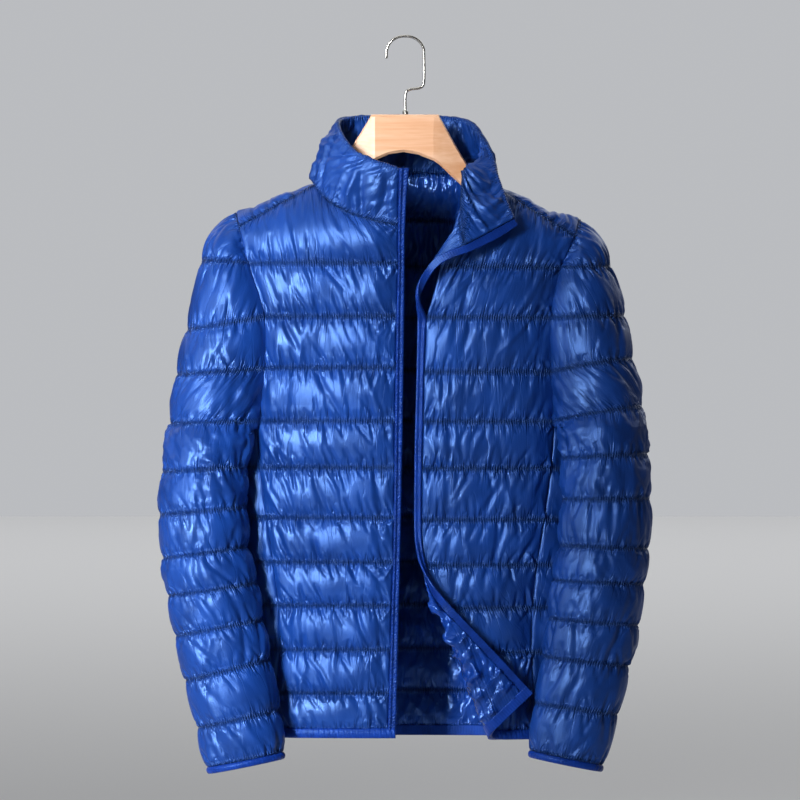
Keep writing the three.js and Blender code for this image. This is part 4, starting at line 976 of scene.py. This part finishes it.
# Front panels. The coarse grids get so many steps to each row, and to each column across.
ROW_STEPS = 8
LEFT_ACROSS = 14
PLAIN_ACROSS = 13
BEND_ACROSS = 5
TURNED_ACROSS = 6
left_coarse, right_coarse, back_coarse = left_front(), right_front(), back_rows()
left_base = refine(refine(left_coarse, ROW_STEPS, 0), LEFT_ACROSS, 1)
front_channel = np.arange(len(left_base)) / (ROW_STEPS * CHANNEL_ROWS)
left_normals = grid_normals(left_base, -1)
left_lift, left_folds = lifted(left_base, front_channel, PUFF, SEED, leans=(0.3, -0.3))
left_folds += corner_folds(along_rows(left_base), front_channel, CHANNEL_HEIGHT, SEED + 2, False)
left_sheet = lay_sheet(
    "front_left", left_base, left_normals, front_channel, left_lift + left_folds,
    and_edges(on_lines(front_channel, left_base.shape[1])), folds=left_folds,
)

right_steps = [PLAIN_ACROSS] * PLAIN_COLUMNS + [BEND_ACROSS] * BEND_COLUMNS
right_steps += [TURNED_ACROSS] * (RIGHT_COLUMNS - len(right_steps))
right_flat = refine(refine(right_coarse, ROW_STEPS, 0), right_steps, 1)
right_base = bend_points(right_flat)
right_normals = bend_normals(right_flat, grid_normals(right_flat, 1))
# The puff is pressed flatter from just before the bend line on.
PRESSED_BEFORE = 16
PRESSED_OVER = 20
PRESSED_TO = 0.35
turned = np.clip(1 - (past_bend(right_flat) + PRESSED_BEFORE) / PRESSED_OVER, PRESSED_TO, 1)
right_lift, right_folds = lifted(right_flat, front_channel, PUFF, SEED + 10, leans=(0.3, -0.2))
right_folds += corner_folds(along_rows(right_flat), front_channel, CHANNEL_HEIGHT, SEED + 12, True)
right_folds *= turned
right_sheet = lay_sheet(
    "front_right", right_base, right_normals, front_channel,
    STITCH_LIFT + (right_lift - STITCH_LIFT) * turned + right_folds,
    and_edges(on_lines(front_channel, right_base.shape[1])), folds=right_folds,
)

# Back panel, with the shoulders and the sides. It lies flat at the neck seam, where the collar stands on it,
# and is held low beside the sleeves.
BACK_STEPS = 5
BACK_ACROSS = 12
NECK_LIFT = 1.2
NECK_FLAT = 12
NECK_RISE = 30
BESIDE_SLEEVE = 165
MOST_BESIDE_SLEEVE = 5
back_base = refine(refine(back_coarse, BACK_STEPS, 0), BACK_ACROSS, 1)
back_row = np.arange(len(back_base)) / BACK_STEPS
yoke = 2 * SHOULDER_ROWS
back_channel = np.where(back_row < yoke, (back_row - yoke) / yoke, (back_row - yoke) / CHANNEL_ROWS)
back_normals = grid_normals(back_base, 1)
back_lift, back_folds = lifted(back_base, back_channel, PUFF, SEED + 20)
neckline = [vec(p) for p in (*NECK_BACK, NECK_SIDE["left"], NECK_SIDE["right"])]
near_neck = np.min([np.linalg.norm(back_base - p, axis=-1) for p in neckline], axis=0)
back_lift = NECK_LIFT + (back_lift - NECK_LIFT) * np.clip((near_neck - NECK_FLAT) / NECK_RISE, 0, 1)
at_armpit = (back_base[..., 2] < BODY[2]["zl"]) & (back_base[..., 2] > BODY[4]["zr"])
beside_sleeve = at_armpit & (np.abs(back_base[..., 0]) > BESIDE_SLEEVE)
back_lift = np.where(beside_sleeve, np.minimum(back_lift, MOST_BESIDE_SLEEVE), back_lift)
back_sheet = lay_sheet(
    "back", back_base, back_normals, back_channel, back_lift + back_folds,
    and_edges(on_lines(back_channel, back_base.shape[1])), folds=back_folds,
)

# Sleeves. Their puff is lower near the armhole, and crumples lie across the elbow.
SLEEVE_ACROSS = 8
SLEEVE_LIFT = 3.4
SLEEVE_PUFF = 4.6
SLEEVE_ROOM = 1.5
SLEEVE_LEAN = 0.1
SLEEVE_SEED = {"left": SEED + 30, "right": SEED + 40}
SEAM_SPREAD = 60
LEAST_AT_HEAD = 0.35
ELBOW_CHANNEL = 4.6
ELBOW_SPREAD = 1.3
ELBOW_CRUMPLE = {"size": 24.0, "tall": 2.0}
sleeve_sheets, sleeve_ends = {}, {}
for side, turn in (("left", 1), ("right", -1)):
    rows, underarm = sleeve_rows(side)
    ghost_first, ghost_last = 2 * rows[:, 0] - rows[:, 1], 2 * rows[:, -1] - rows[:, -2]
    ghost_first[underarm:], ghost_last[underarm:] = rows[underarm:, -2], rows[underarm:, 1]
    base = refine(refine(rows, SLEEVE_ACROSS, 1, (ghost_first, ghost_last)), ROW_STEPS, 0)
    base[: CHANNEL_ROWS * ROW_STEPS, 0] = rows[CHANNEL_ROWS, 0]
    base[: CHANNEL_ROWS * ROW_STEPS, -1] = rows[CHANNEL_ROWS, -1]
    base[underarm * ROW_STEPS :, -1] = base[underarm * ROW_STEPS :, 0]
    channel = np.arange(len(base)) / (ROW_STEPS * CHANNEL_ROWS)
    joined = np.arange(len(base)) >= underarm * ROW_STEPS
    normals = grid_normals(base, turn, joined)
    lean = SLEEVE_LEAN * turn
    seed = SLEEVE_SEED[side]
    lift, folds = lifted(base, channel, SLEEVE_PUFF, seed, ends=False, leans=(-lean, lean))
    fade = np.where(joined[:, None], 1, np.sqrt(np.minimum(1, edge_distance(base) / PUFF_EDGE)))
    at_head = np.clip(channel, LEAST_AT_HEAD, 1)[:, None]
    lift = SLEEVE_LIFT * (0.4 + 0.6 * at_head) + (lift - STITCH_LIFT) * fade * at_head
    off_seam = np.minimum(1, edge_distance(base) / SEAM_SPREAD)
    at_elbow = np.exp(-(((channel - ELBOW_CHANNEL) / ELBOW_SPREAD) ** 2))[:, None] * (1 - 0.6 * off_seam)
    folds = folds * fade + crumple(base, seed + 3, **ELBOW_CRUMPLE) * at_elbow * held_away(channel)[:, None]
    for grid in (lift, folds):
        grid[:, -1] = np.where(joined, grid[:, 0], grid[:, -1])
    held = on_lines(channel, base.shape[1])
    held[0] = held[-1] = True
    held[~joined, 0] = held[~joined, -1] = True
    sleeve_sheets[side] = lay_sheet(
        "sleeve_" + side, base, normals, channel, lift + folds, held, room=SLEEVE_ROOM, folds=folds,
    )
    sleeve_ends[side] = (rows[-1], turn)

# Collar: one padded band folded over its top edge. Its rows run up the outside, over, and down the inside.
COLLAR_ACROSS = 11
COLLAR_WALL = 2.2
COLLAR_PUFF = 5.2
COLLAR_EDGE = 14
COLLAR_HEIGHT = 72.0
COLLAR_ROOM = 1.5
COLLAR_SEAM = 0.98
COLLAR_SEAM_LIFT = 1.6
COLLAR_INSIDE_SHARE = 0.75
COLLAR_ROWS_UP = 30
COLLAR_ROWS_DOWN = 27
COLLAR_NEAR_TOP = 0.05
COLLAR_AT_TOP = 0.03
COLLAR_CRUMPLE = {"size": 19.0, "tall": 1.7}
COLLAR_FOLD_LEANS = (0.5, 0.9)
COLLAR_FOLD_AMOUNT = 1.5
TURN_COLUMN = 12
TURN_COLUMNS = 3
LEAST_CRUMPLED = 0.3
COLLAR_OVER_TOP = (0.35, 0.8, 1.3, math.pi / 2, 1.84, 2.34, 2.79)
# The inner face of its turned-out end comes forward, over the hanger's arm.
COLLAR_INNER_TURN = ((98, -24, -162), (73, -46, -160), (67, -60, -188), (66.5, -74, -219))
collar_base_row = [vec(p) for p in NECK_FRONT_LEFT[::-1]] + [vec(NECK_SIDE["left"])]
collar_base_row += [vec(p) for p in (*NECK_BACK, NECK_SIDE["right"], *COLLAR_TURN_BASE)]
top_edge = refine(np.array(COLLAR_TOP, float)[None], COLLAR_ACROSS, 1)[0]
base_edge = refine(np.array(collar_base_row)[None], COLLAR_ACROSS, 1)[0]
before_turn = len(collar_base_row) - len(COLLAR_INNER_TURN) - 1
collar_inner_row = list(collar_base_row)
collar_inner_row[before_turn:-1] = [vec(p) for p in COLLAR_INNER_TURN]
inner_edge = refine(np.array(collar_inner_row)[None], COLLAR_ACROSS, 1)[0]
band = np.array([mix(top_edge, base_edge, t) for t in np.linspace(0, 1, 5)])
band_normal = grid_normals(band, 1)[2]
band_up = unit(top_edge - base_edge)
band_normal = unit(band_normal - band_up * np.sum(band_normal * band_up, axis=-1, keepdims=True))
# Each row's share of the way from the top edge to the neck seam, and how far it is turned over the top.
stations = [(t, 0.0) for t in np.linspace(1, COLLAR_NEAR_TOP, COLLAR_ROWS_UP)]
stations += [(COLLAR_AT_TOP, a) for a in COLLAR_OVER_TOP]
stations += [(t, math.pi) for t in np.linspace(COLLAR_NEAR_TOP, 1, COLLAR_ROWS_DOWN)]
collar_base = np.array([mix(top_edge, mix(base_edge, inner_edge, a / math.pi), t) for t, a in stations])
collar_normals = np.array([band_normal * math.cos(a) + band_up * math.sin(a) for _, a in stations])
collar_channel = [(1 - t) * COLLAR_SEAM for t, _ in stations]
collar_channel = np.sort([c if a < math.pi / 2 else 2 - c for c, (_, a) in zip(collar_channel, stations)])
swell = np.array([math.sin(math.pi * min(1, t * 1.02)) ** 0.6 for t, _ in stations])
ends_fade = np.clip(edge_distance(collar_base) / COLLAR_EDGE, 0, 1) ** 0.5
outside = np.array([1.0 if a < math.pi / 2 else COLLAR_INSIDE_SHARE for _, a in stations])
collar_lift = COLLAR_WALL + (COLLAR_PUFF * swell * outside)[:, None] * ends_fade
collar_folds = gathers(
    along_rows(collar_base), collar_channel, COLLAR_HEIGHT, SEED + 50, COLLAR_FOLD_AMOUNT, COLLAR_FOLD_LEANS,
    STRONG_KINDS,
)
# The turned-out end at the right is crumpled most.
collar_column = np.arange(collar_base.shape[1]) / COLLAR_ACROSS
right_end = np.clip((collar_column - TURN_COLUMN) / TURN_COLUMNS, LEAST_CRUMPLED, 1)
collar_folds += crumple(collar_base, SEED + 52, **COLLAR_CRUMPLE) * right_end
from_top = np.clip(np.array([t for t, _ in stations]) / 0.25, 0, 1)
collar_folds *= ends_fade * from_top[:, None]
collar_lift = collar_lift + collar_folds
collar_lift[0] = collar_lift[-1] = COLLAR_SEAM_LIFT
collar_held = np.zeros(collar_lift.shape, bool)
collar_sheet = lay_sheet(
    "collar", collar_base, collar_normals, collar_channel, collar_lift, and_edges(collar_held),
    room=COLLAR_ROOM, folds=collar_folds,
)

# Linings where they show: inside the back, and over the turned-out corner.
LINING_GAP = 0.35
LINING_LIFT = 1.2
CREASE_SIZE = {"quilted": 15.0, "plain": 30.0, "fine": 12.0}
FINE_SHARE = 0.32


def lining(name, base, normals, channel, full, seed, excess, amount, crumpled, quilted=True, fade=1.0):
    """A thin lining on the inner side of a panel's base: quilted like the shell, or plain and crumpled."""
    inward = -normals
    face = base + inward * LINING_GAP
    lift, folds = lifted(base, channel, full, seed, amount=amount)
    folds *= fade
    creases = crumple(base, seed, CREASE_SIZE["quilted" if quilted else "plain"], crumpled) * fade
    if not quilted:
        creases += crumple(base, seed + 1, CREASE_SIZE["fine"], crumpled * FINE_SHARE) * fade
    lift = LINING_LIFT + (lift - STITCH_LIFT) * (1 if quilted else 0.4) * fade + np.maximum(creases, -0.6)
    lift += crumpled * 0.6 * fade
    held = on_lines(channel, base.shape[1]) if quilted else np.zeros(lift.shape, bool)
    lift = np.where(held, LINING_LIFT, lift)
    return lay_sheet(
        name, face, inward, channel if quilted else channel * 0.05 + 0.3, lift + folds, and_edges(held),
        excess=excess, folds=folds + creases,
    )


inside = slice(6 * BACK_ACROSS, (BACK_COLUMNS - 5) * BACK_ACROSS + 1)
back_lining = lining(
    "lining_back", back_base[:, inside], back_normals[:, inside], back_channel, full=3.6, seed=SEED + 60,
    excess=0.01, amount=0.8, crumpled=0.9,
)
# The corner's part runs down from the sixth quilt line, and is plain until it is past the bend.
corner = (slice(6 * CHANNEL_ROWS * ROW_STEPS, None), slice((PLAIN_COLUMNS - 1) * PLAIN_ACROSS, None))
corner_lining = lining(
    "lining_corner", right_base[corner], right_normals[corner], front_channel[corner[0]], full=2.4,
    seed=SEED + 70, excess=0.03, amount=0.3, crumpled=6.0, quilted=False,
    fade=np.clip((past_bend(right_flat[corner]) - 4) / 15, 0.03, 1),
)

blow_up(list(sheets))

# Padded pieces: how full each is of down, and how far inside its base its plain inner side lies. The collar's
# lies outside it instead, so that its two faces stay apart.
PADDED = (
    (left_sheet, "front_left", 0.6, 0.0),
    (right_sheet, "front_right", 0.6, 0.0),
    (back_sheet, "back", 0.6, 0.0),
    (sleeve_sheets["left"], "sleeve_left", 0.6, 0.0),
    (sleeve_sheets["right"], "sleeve_right", 0.6, 0.0),
    (collar_sheet, "collar", 0.5, -0.4),
)
for sheet, node, fill, inner in PADDED:
    panel = close_sheet(sheet, inner)
    panel.name = node + "_panel"
    put(panel, [node], SHELL)


def area_of(grid):
    """Area of a grid's surface in square metres."""
    a, b = np.diff(grid, axis=0)[:, :-1], np.diff(grid, axis=1)[:-1]
    return float(np.linalg.norm(np.cross(a, b), axis=-1).sum()) * MM * MM


def flat_size(grid):
    """Width and length of the cut that a grid was made from, in metres, and its area."""
    width = np.linalg.norm(np.diff(grid, axis=1), axis=-1).sum(axis=1).max() * MM
    length = np.linalg.norm(np.diff(grid, axis=0), axis=-1).sum(axis=0).max() * MM
    return (float(width), float(length)), min(area_of(grid), float(width * length))


def cloth_piece(sheet, node, material, wall=0.0, fold=0.0):
    """Closes a thin sheet and puts it in place of its solid. The cut of what shows is worked out but not
    kept.
    """
    piece = close_sheet(sheet, wall)
    piece.name = node + "_cloth"
    put(piece, [node], material)
    grid = sheet["base"].reshape(*sheet["shape"], 3)
    flat, area = flat_size(grid)
    flat = (flat[0] + fold * MM, flat[1])
    area = max(area, 0.95 * flat[0] * flat[1]) if fold else area
    return piece


cloth_piece(back_lining, "lining_back", LINING)
cloth_piece(corner_lining, "lining_corner", LINING)


# Zip tapes, bindings and the facing: narrow doubled cloth, laid straight on its edge with fine gathers.
RIB_PITCH = 3.4
STRIP_ACROSS = 12
STRIP_STEPS = 10


def edge_gathers(base, seed, tall, apart=4.5, lean=0.8):
    """Slanting gathers that a tight seam leaves across a narrow strip."""
    rng = np.random.default_rng(seed)
    lengths = along_rows(np.swapaxes(base, 0, 1)).T
    share = np.linspace(0, 1, base.shape[1])[None, :]
    wave = np.zeros(lengths.shape)
    for _ in range(5):
        step = apart * rng.uniform(0.75, 1.5)
        wave += np.sin(2 * math.pi * (lengths / step + share * lean) + rng.uniform(0, 6.28))
    return tall * np.tanh(wave / 2)


def rib_steps(grid):
    """Place of each row along a strip, counted in ribs."""
    gaps = np.linalg.norm(np.diff(grid[:, 0], axis=0), axis=-1)
    return np.concatenate([[0], np.cumsum(gaps)]) / RIB_PITCH


def strip(node, grid, turn, profile, seed, material, tall=0.5, wall=0.0, normals=None):
    """Lays one strip of trim, with the given height across it, and puts it in place of its solid."""
    profile = np.repeat(profile[None, :], len(grid), 0)
    normals = grid_normals(grid, turn) if normals is None else normals
    lift = profile + edge_gathers(grid, seed, tall) * np.clip(profile / 3.0, 0, 1)
    sheet = lay_sheet(node, grid, normals, rib_steps(grid), lift, np.zeros(grid.shape[:2], bool))
    return cloth_piece(sheet, node, material, wall)


def x_at(table, z):
    """Place of a tape's edge at a height."""
    k = 0
    while k < len(table) - 2 and z < table[k + 1][1]:
        k += 1
    (xa, za), (xb, zb) = table[k], table[k + 1]
    return mix(xa, xb, max(0, (z - za) / (zb - za)))


# Across a tape, a roll lies over the seam, and the flat part beside it has a low crown.
TAPE_WALL = 2.4
ROLL_HEIGHT = 2.3
FLAT_HEIGHT = 0.7
ROLL_SHARE = 0.54
across = np.linspace(0, 1, STRIP_ACROSS + 1)
roll = TAPE_WALL + ROLL_HEIGHT * np.sin(math.pi * np.clip(across / 0.5, 0, 1)) ** 0.6
flat_share = np.clip((across - ROLL_SHARE) / (1 - ROLL_SHARE), 0, 1)
flat_part = TAPE_WALL + FLAT_HEIGHT * np.sin(math.pi * flat_share) ** 0.5
tape_profile = np.where(across < ROLL_SHARE, roll, flat_part)
collar_coarse = [mix(vec(COLLAR_TOP[0]), vec(NECK_FRONT_LEFT[-1]), i / 3) for i in range(3)]
left_tape = collar_coarse + [row[LEFT_COLUMNS] for row in left_coarse]
left_tape = np.array([[p, vec((x_at(TAPE_LEFT, p[2]), p[1] - 0.5, p[2]))] for p in left_tape])
left_tape = refine(refine(left_tape, STRIP_ACROSS, 1), STRIP_STEPS, 0)
strip("zip_tape_left", left_tape, -1, tape_profile, SEED + 80, TAPE)

# The right tape runs down the collar's turned end and the lapel, then down the front and round its corner.
right_edge = [row[RIGHT_COLUMNS] for row in right_coarse[2 * CHANNEL_ROWS :]]
right_tape = bend_points(np.array([(p, on_front(x_at(TAPE_RIGHT_FLAT, p[2]), p[2])) for p in right_edge]))
collar_end = [
    np.round(mix(vec(COLLAR_TOP[-1]), vec(LAPEL_EDGE[0]), i / COLLAR_END_STEPS), 3)
    for i in range(COLLAR_END_STEPS)
]
lapel_edge = collar_end + [vec(p) for p in LAPEL_EDGE]
lapel_tape = np.array([[a, vec(b)] for a, b in zip(lapel_edge, TAPE_LAPEL)])
right_tape = refine(refine(np.concatenate([lapel_tape, right_tape]), STRIP_ACROSS, 1), STRIP_STEPS, 0)
strip("zip_tape_right", right_tape, 1, tape_profile, SEED + 81, SMOOTH_TAPE)

facing = np.array([[vec(a), mix(vec(a), vec(b), 0.5), vec(b)] for a, b in FACING])
facing = refine(refine(facing, STRIP_ACROSS, 1), STRIP_ACROSS, 0)
FACING_LIFT = 1.8
facing_sheet = lay_sheet(
    "facing_right", facing, grid_normals(facing, 1), np.linspace(0, 1, len(facing)),
    np.full(facing.shape[:2], FACING_LIFT), np.zeros(facing.shape[:2], bool),
)
cloth_piece(facing_sheet, "facing_right", SHELL)

# Hem binding, from the left front edge round the back to the turned corner.
HEM_ACROSS = 10
HEM_LAP = 1.8
HEM_WALL = 2.4
BINDING_STEPS = 6
BINDING_WALL = 2.8
BINDING_CROWN = 2.2
zip_foot = left_coarse[-1][-1]
left_bottom = vec((x_at(TAPE_LEFT, zip_foot[2]), zip_foot[1] - 0.5, zip_foot[2]))
hem_path = [left_bottom] + list(left_coarse[-1][:0:-1]) + list(back_coarse[-1])
bent_from = len(hem_path)
last = right_coarse[-1][RIGHT_COLUMNS]
hem_path += list(right_coarse[-1][1:]) + [on_front(x_at(TAPE_RIGHT_FLAT, last[2]), last[2])]
hem_drops = [vec((0, 0, HEM_LAP - (HEM_DEPTH + HEM_LAP) * t)) for t in (0, 0.5, 1)]
hem_flat = np.array([[p + drop for p in hem_path] for drop in hem_drops])
hem_flat = refine(refine(hem_flat, HEM_ACROSS, 1), BINDING_STEPS, 0)
hem_normals = grid_normals(hem_flat, 1)
hem_base = hem_flat.copy()
bent = slice((bent_from - 1) * HEM_ACROSS, None)
hem_base[:, bent] = bend_points(hem_flat[:, bent])
hem_normals[:, bent] = bend_normals(hem_flat[:, bent], hem_normals[:, bent])
hem_base, hem_normals = np.swapaxes(hem_base, 0, 1), np.swapaxes(hem_normals, 0, 1)
binding_share = np.linspace(0, 1, hem_base.shape[1])
binding_profile = BINDING_WALL + BINDING_CROWN * np.sin(math.pi * binding_share) ** 0.6
strip(
    "hem_binding", hem_base, 1, binding_profile, SEED + 82, BINDING, tall=0.3, wall=HEM_WALL,
    normals=hem_normals,
)

# Cuff bindings, each a ring below its sleeve. 3.5 mm of the cut goes round the raised edge.
CUFF_ACROSS = 10
CUFF_GAP = 0.5
CUFF_GATHER = 0.35
CUFF_TILT = 0.12
ROUND_EDGE = 3.5

for side, (ring, turn) in sleeve_ends.items():
    end = SLEEVE[side][-1]
    down = unit(vec(((end["xi"] - end["xo"]) * CUFF_TILT, 0, -100)))
    cuff = np.array([[p + down * (CUFF_GAP + CUFF_DEPTH * t) for p in ring] for t in (0, 0.5, 1)])
    cuff = refine(refine(cuff, CUFF_ACROSS, 1, (cuff[:, -2], cuff[:, 1])), BINDING_STEPS, 0)
    cuff[:, -1] = cuff[:, 0]
    normals = grid_normals(cuff, turn, np.ones(len(cuff), bool))
    cuff, normals = np.swapaxes(cuff, 0, 1), np.swapaxes(normals, 0, 1)
    lift = binding_profile[None, :] + edge_gathers(cuff, SEED + 83, CUFF_GATHER)
    lift[-1] = lift[0]
    node = "cuff_binding_" + side
    sheet = lay_sheet(node, cuff, normals, rib_steps(cuff), lift, np.zeros(cuff.shape[:2], bool))
    cloth_piece(sheet, node, BINDING, fold=ROUND_EDGE)


# The hanger: a new wire in place of the hook's solid, and finishes for the other two.
def wire(name, path, radius, segments):
    """A round bar along a path in the plane of the hanger, one ring of points extruded from the last."""
    bm = bmesh.new()
    spans = [unit(b - a) for a, b in zip(path, path[1:])]
    directions = [spans[0]] + [unit(a + b) for a, b in zip(spans, spans[1:])] + [spans[-1]]
    side = vec((0, 1, 0))
    bmesh.ops.create_circle(bm, cap_ends=True, radius=1.0, segments=segments)
    order = sorted(bm.verts, key=lambda v: math.atan2(v.co.y, v.co.x))

    def ring_at(k, scale=1.0):
        across = unit(np.cross(side, directions[k]))
        for n, v in enumerate(order):
            a = 2 * math.pi * n / segments
            v.co = Vector((path[k] + (across * math.cos(a) + side * math.sin(a)) * radius * scale) * MM)

    ring_at(0, 0.6)
    for k in range(1, len(path)):
        edges = [e for e in bm.edges if e.verts[0] in order and e.verts[1] in order]
        made = bmesh.ops.extrude_edge_only(bm, edges=edges)
        fresh = [g for g in made["geom"] if isinstance(g, bmesh.types.BMVert)]
        order = [min(fresh, key=lambda w: (w.co - v.co).length) for v in order]
        ring_at(k)
    bmesh.ops.holes_fill(bm, edges=[e for e in bm.edges if e.is_boundary], sides=0)
    bmesh.ops.recalc_face_normals(bm, faces=bm.faces)
    for face in bm.faces:
        face.smooth = True
    mesh = bpy.data.meshes.new(name)
    bm.to_mesh(mesh)
    bm.free()
    obj = bpy.data.objects.new(name, mesh)
    bpy.context.scene.collection.objects.link(obj)
    return obj


HOOK_STEPS = 8
HOOK_SIDES = 14
TIP_ROUND = 0.6
hook_points = spline_through([(x, HOOK_Y, z) for x, z in HOOK_PATH], HOOK_STEPS)
hook_points = [hook_points[0] - unit(hook_points[1] - hook_points[0]) * TIP_ROUND] + hook_points
hook = wire("hook_wire", hook_points, WIRE / 2, HOOK_SIDES)
put(hook, ["hanger_hook"], STEEL)
for node, material in (("hanger_body", WOOD_FINISH), ("hanger_ferrule", STEEL)):
    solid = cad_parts[node]
    for index in range(max(1, len(solid.material_slots))):
        if solid.material_slots:
            solid.material_slots[index].material = material
        else:
            solid.data.materials.append(material)


# Floor, light and camera, in metres.
FLOOR_HEIGHT = -1.15
FLOOR_RADIUS = 40.0


def stage_floor():
    """A plain matt floor, below the hanging jacket."""
    bm = bmesh.new()
    bmesh.ops.create_circle(bm, cap_ends=True, radius=FLOOR_RADIUS, segments=96)
    mesh = bpy.data.meshes.new("floor")
    bm.to_mesh(mesh)
    bm.free()
    mesh.transform(Matrix.Translation((0, 0, FLOOR_HEIGHT)))
    floor = bpy.data.objects.new("floor", mesh)
    bpy.context.scene.collection.objects.link(floor)
    # Painted board: pale and matt, so that it only carries the light.
    material, _, shader = new_material("matt painted studio floor")
    shader.inputs["Base Color"].default_value = linear("d9dadc")
    shader.inputs["Roughness"].default_value = 0.8
    mesh.materials.append(material)


def area_light(name, place, aim, size, watts, colour):
    """A soft rectangular lamp that faces its aim."""
    data = bpy.data.lights.new(name, "AREA")
    data.shape = "RECTANGLE"
    data.size, data.size_y = size
    data.energy = watts
    data.color = linear(colour)[:3]
    lamp = bpy.data.objects.new(name, data)
    lamp.location = place
    lamp.rotation_euler = (Vector(aim) - Vector(place)).to_track_quat("-Z", "Y").to_euler()
    bpy.context.scene.collection.objects.link(lamp)
    return data


stage_floor()
# The key is narrow, so that the light falls off towards the right sleeve.
key = area_light("key", (-1.3, -2.2, 0.15), (-0.32, 0, -0.45), (0.5, 1.8), 10.2, "ffffff")
key.spread = math.radians(32)
area_light("side", (-2.6, -0.9, 0.3), (0, 0, -0.4), (0.8, 1.6), 18, "ffffff")
area_light("fill", (2.2, -2.4, 0.3), (0, 0, -0.5), (1.0, 1.6), 1.3, "e4edff")
area_light("top", (-0.3, -0.4, 1.5), (0, 0, -0.4), (1.2, 0.8), 5, "ffffff")
area_light("rear", (1.2, 2.4, 0.8), (0, 0, -0.4), (1.6, 1.6), 8, "ffffff")
area_light("floor_wash", (0, 30, 14), (0, 30, FLOOR_HEIGHT), (60, 50), 9000, "ffffff")

# The backdrop is a pale sky that the camera sees brighter than the jacket does.
SKY_ON_JACKET = 0.07
SKY_IN_CAMERA = 0.75
world = bpy.data.worlds.new("studio")
world.use_nodes = True
world.node_tree.nodes["Background"].inputs[0].default_value = linear("d4d6da")
path = add(world.node_tree, "ShaderNodeLightPath")
seen = add(
    world.node_tree, "ShaderNodeMapRange", Value=path.outputs["Is Camera Ray"], i3=SKY_ON_JACKET,
    i4=SKY_IN_CAMERA,
)
world.node_tree.links.new(seen.outputs[0], world.node_tree.nodes["Background"].inputs[1])
bpy.context.scene.world = world
bpy.context.scene.view_settings.view_transform = "Standard"

# The camera stands far off, so the view is nearly parallel. It takes in a square as wide as the photograph.
DISTANCE = 10.0
VIEW_WIDTH = 0.976
SENSOR = 36
camera_data = bpy.data.cameras.new("camera")
camera_data.sensor_width = SENSOR
camera_data.lens = SENSOR * DISTANCE / VIEW_WIDTH
camera_data.clip_end = 100
camera = bpy.data.objects.new("camera", camera_data)
camera.location = (-0.0065, -DISTANCE, -0.4416)
camera.rotation_euler = (math.pi / 2, 0, 0)
bpy.context.scene.collection.objects.link(camera)
bpy.context.scene.camera = camera
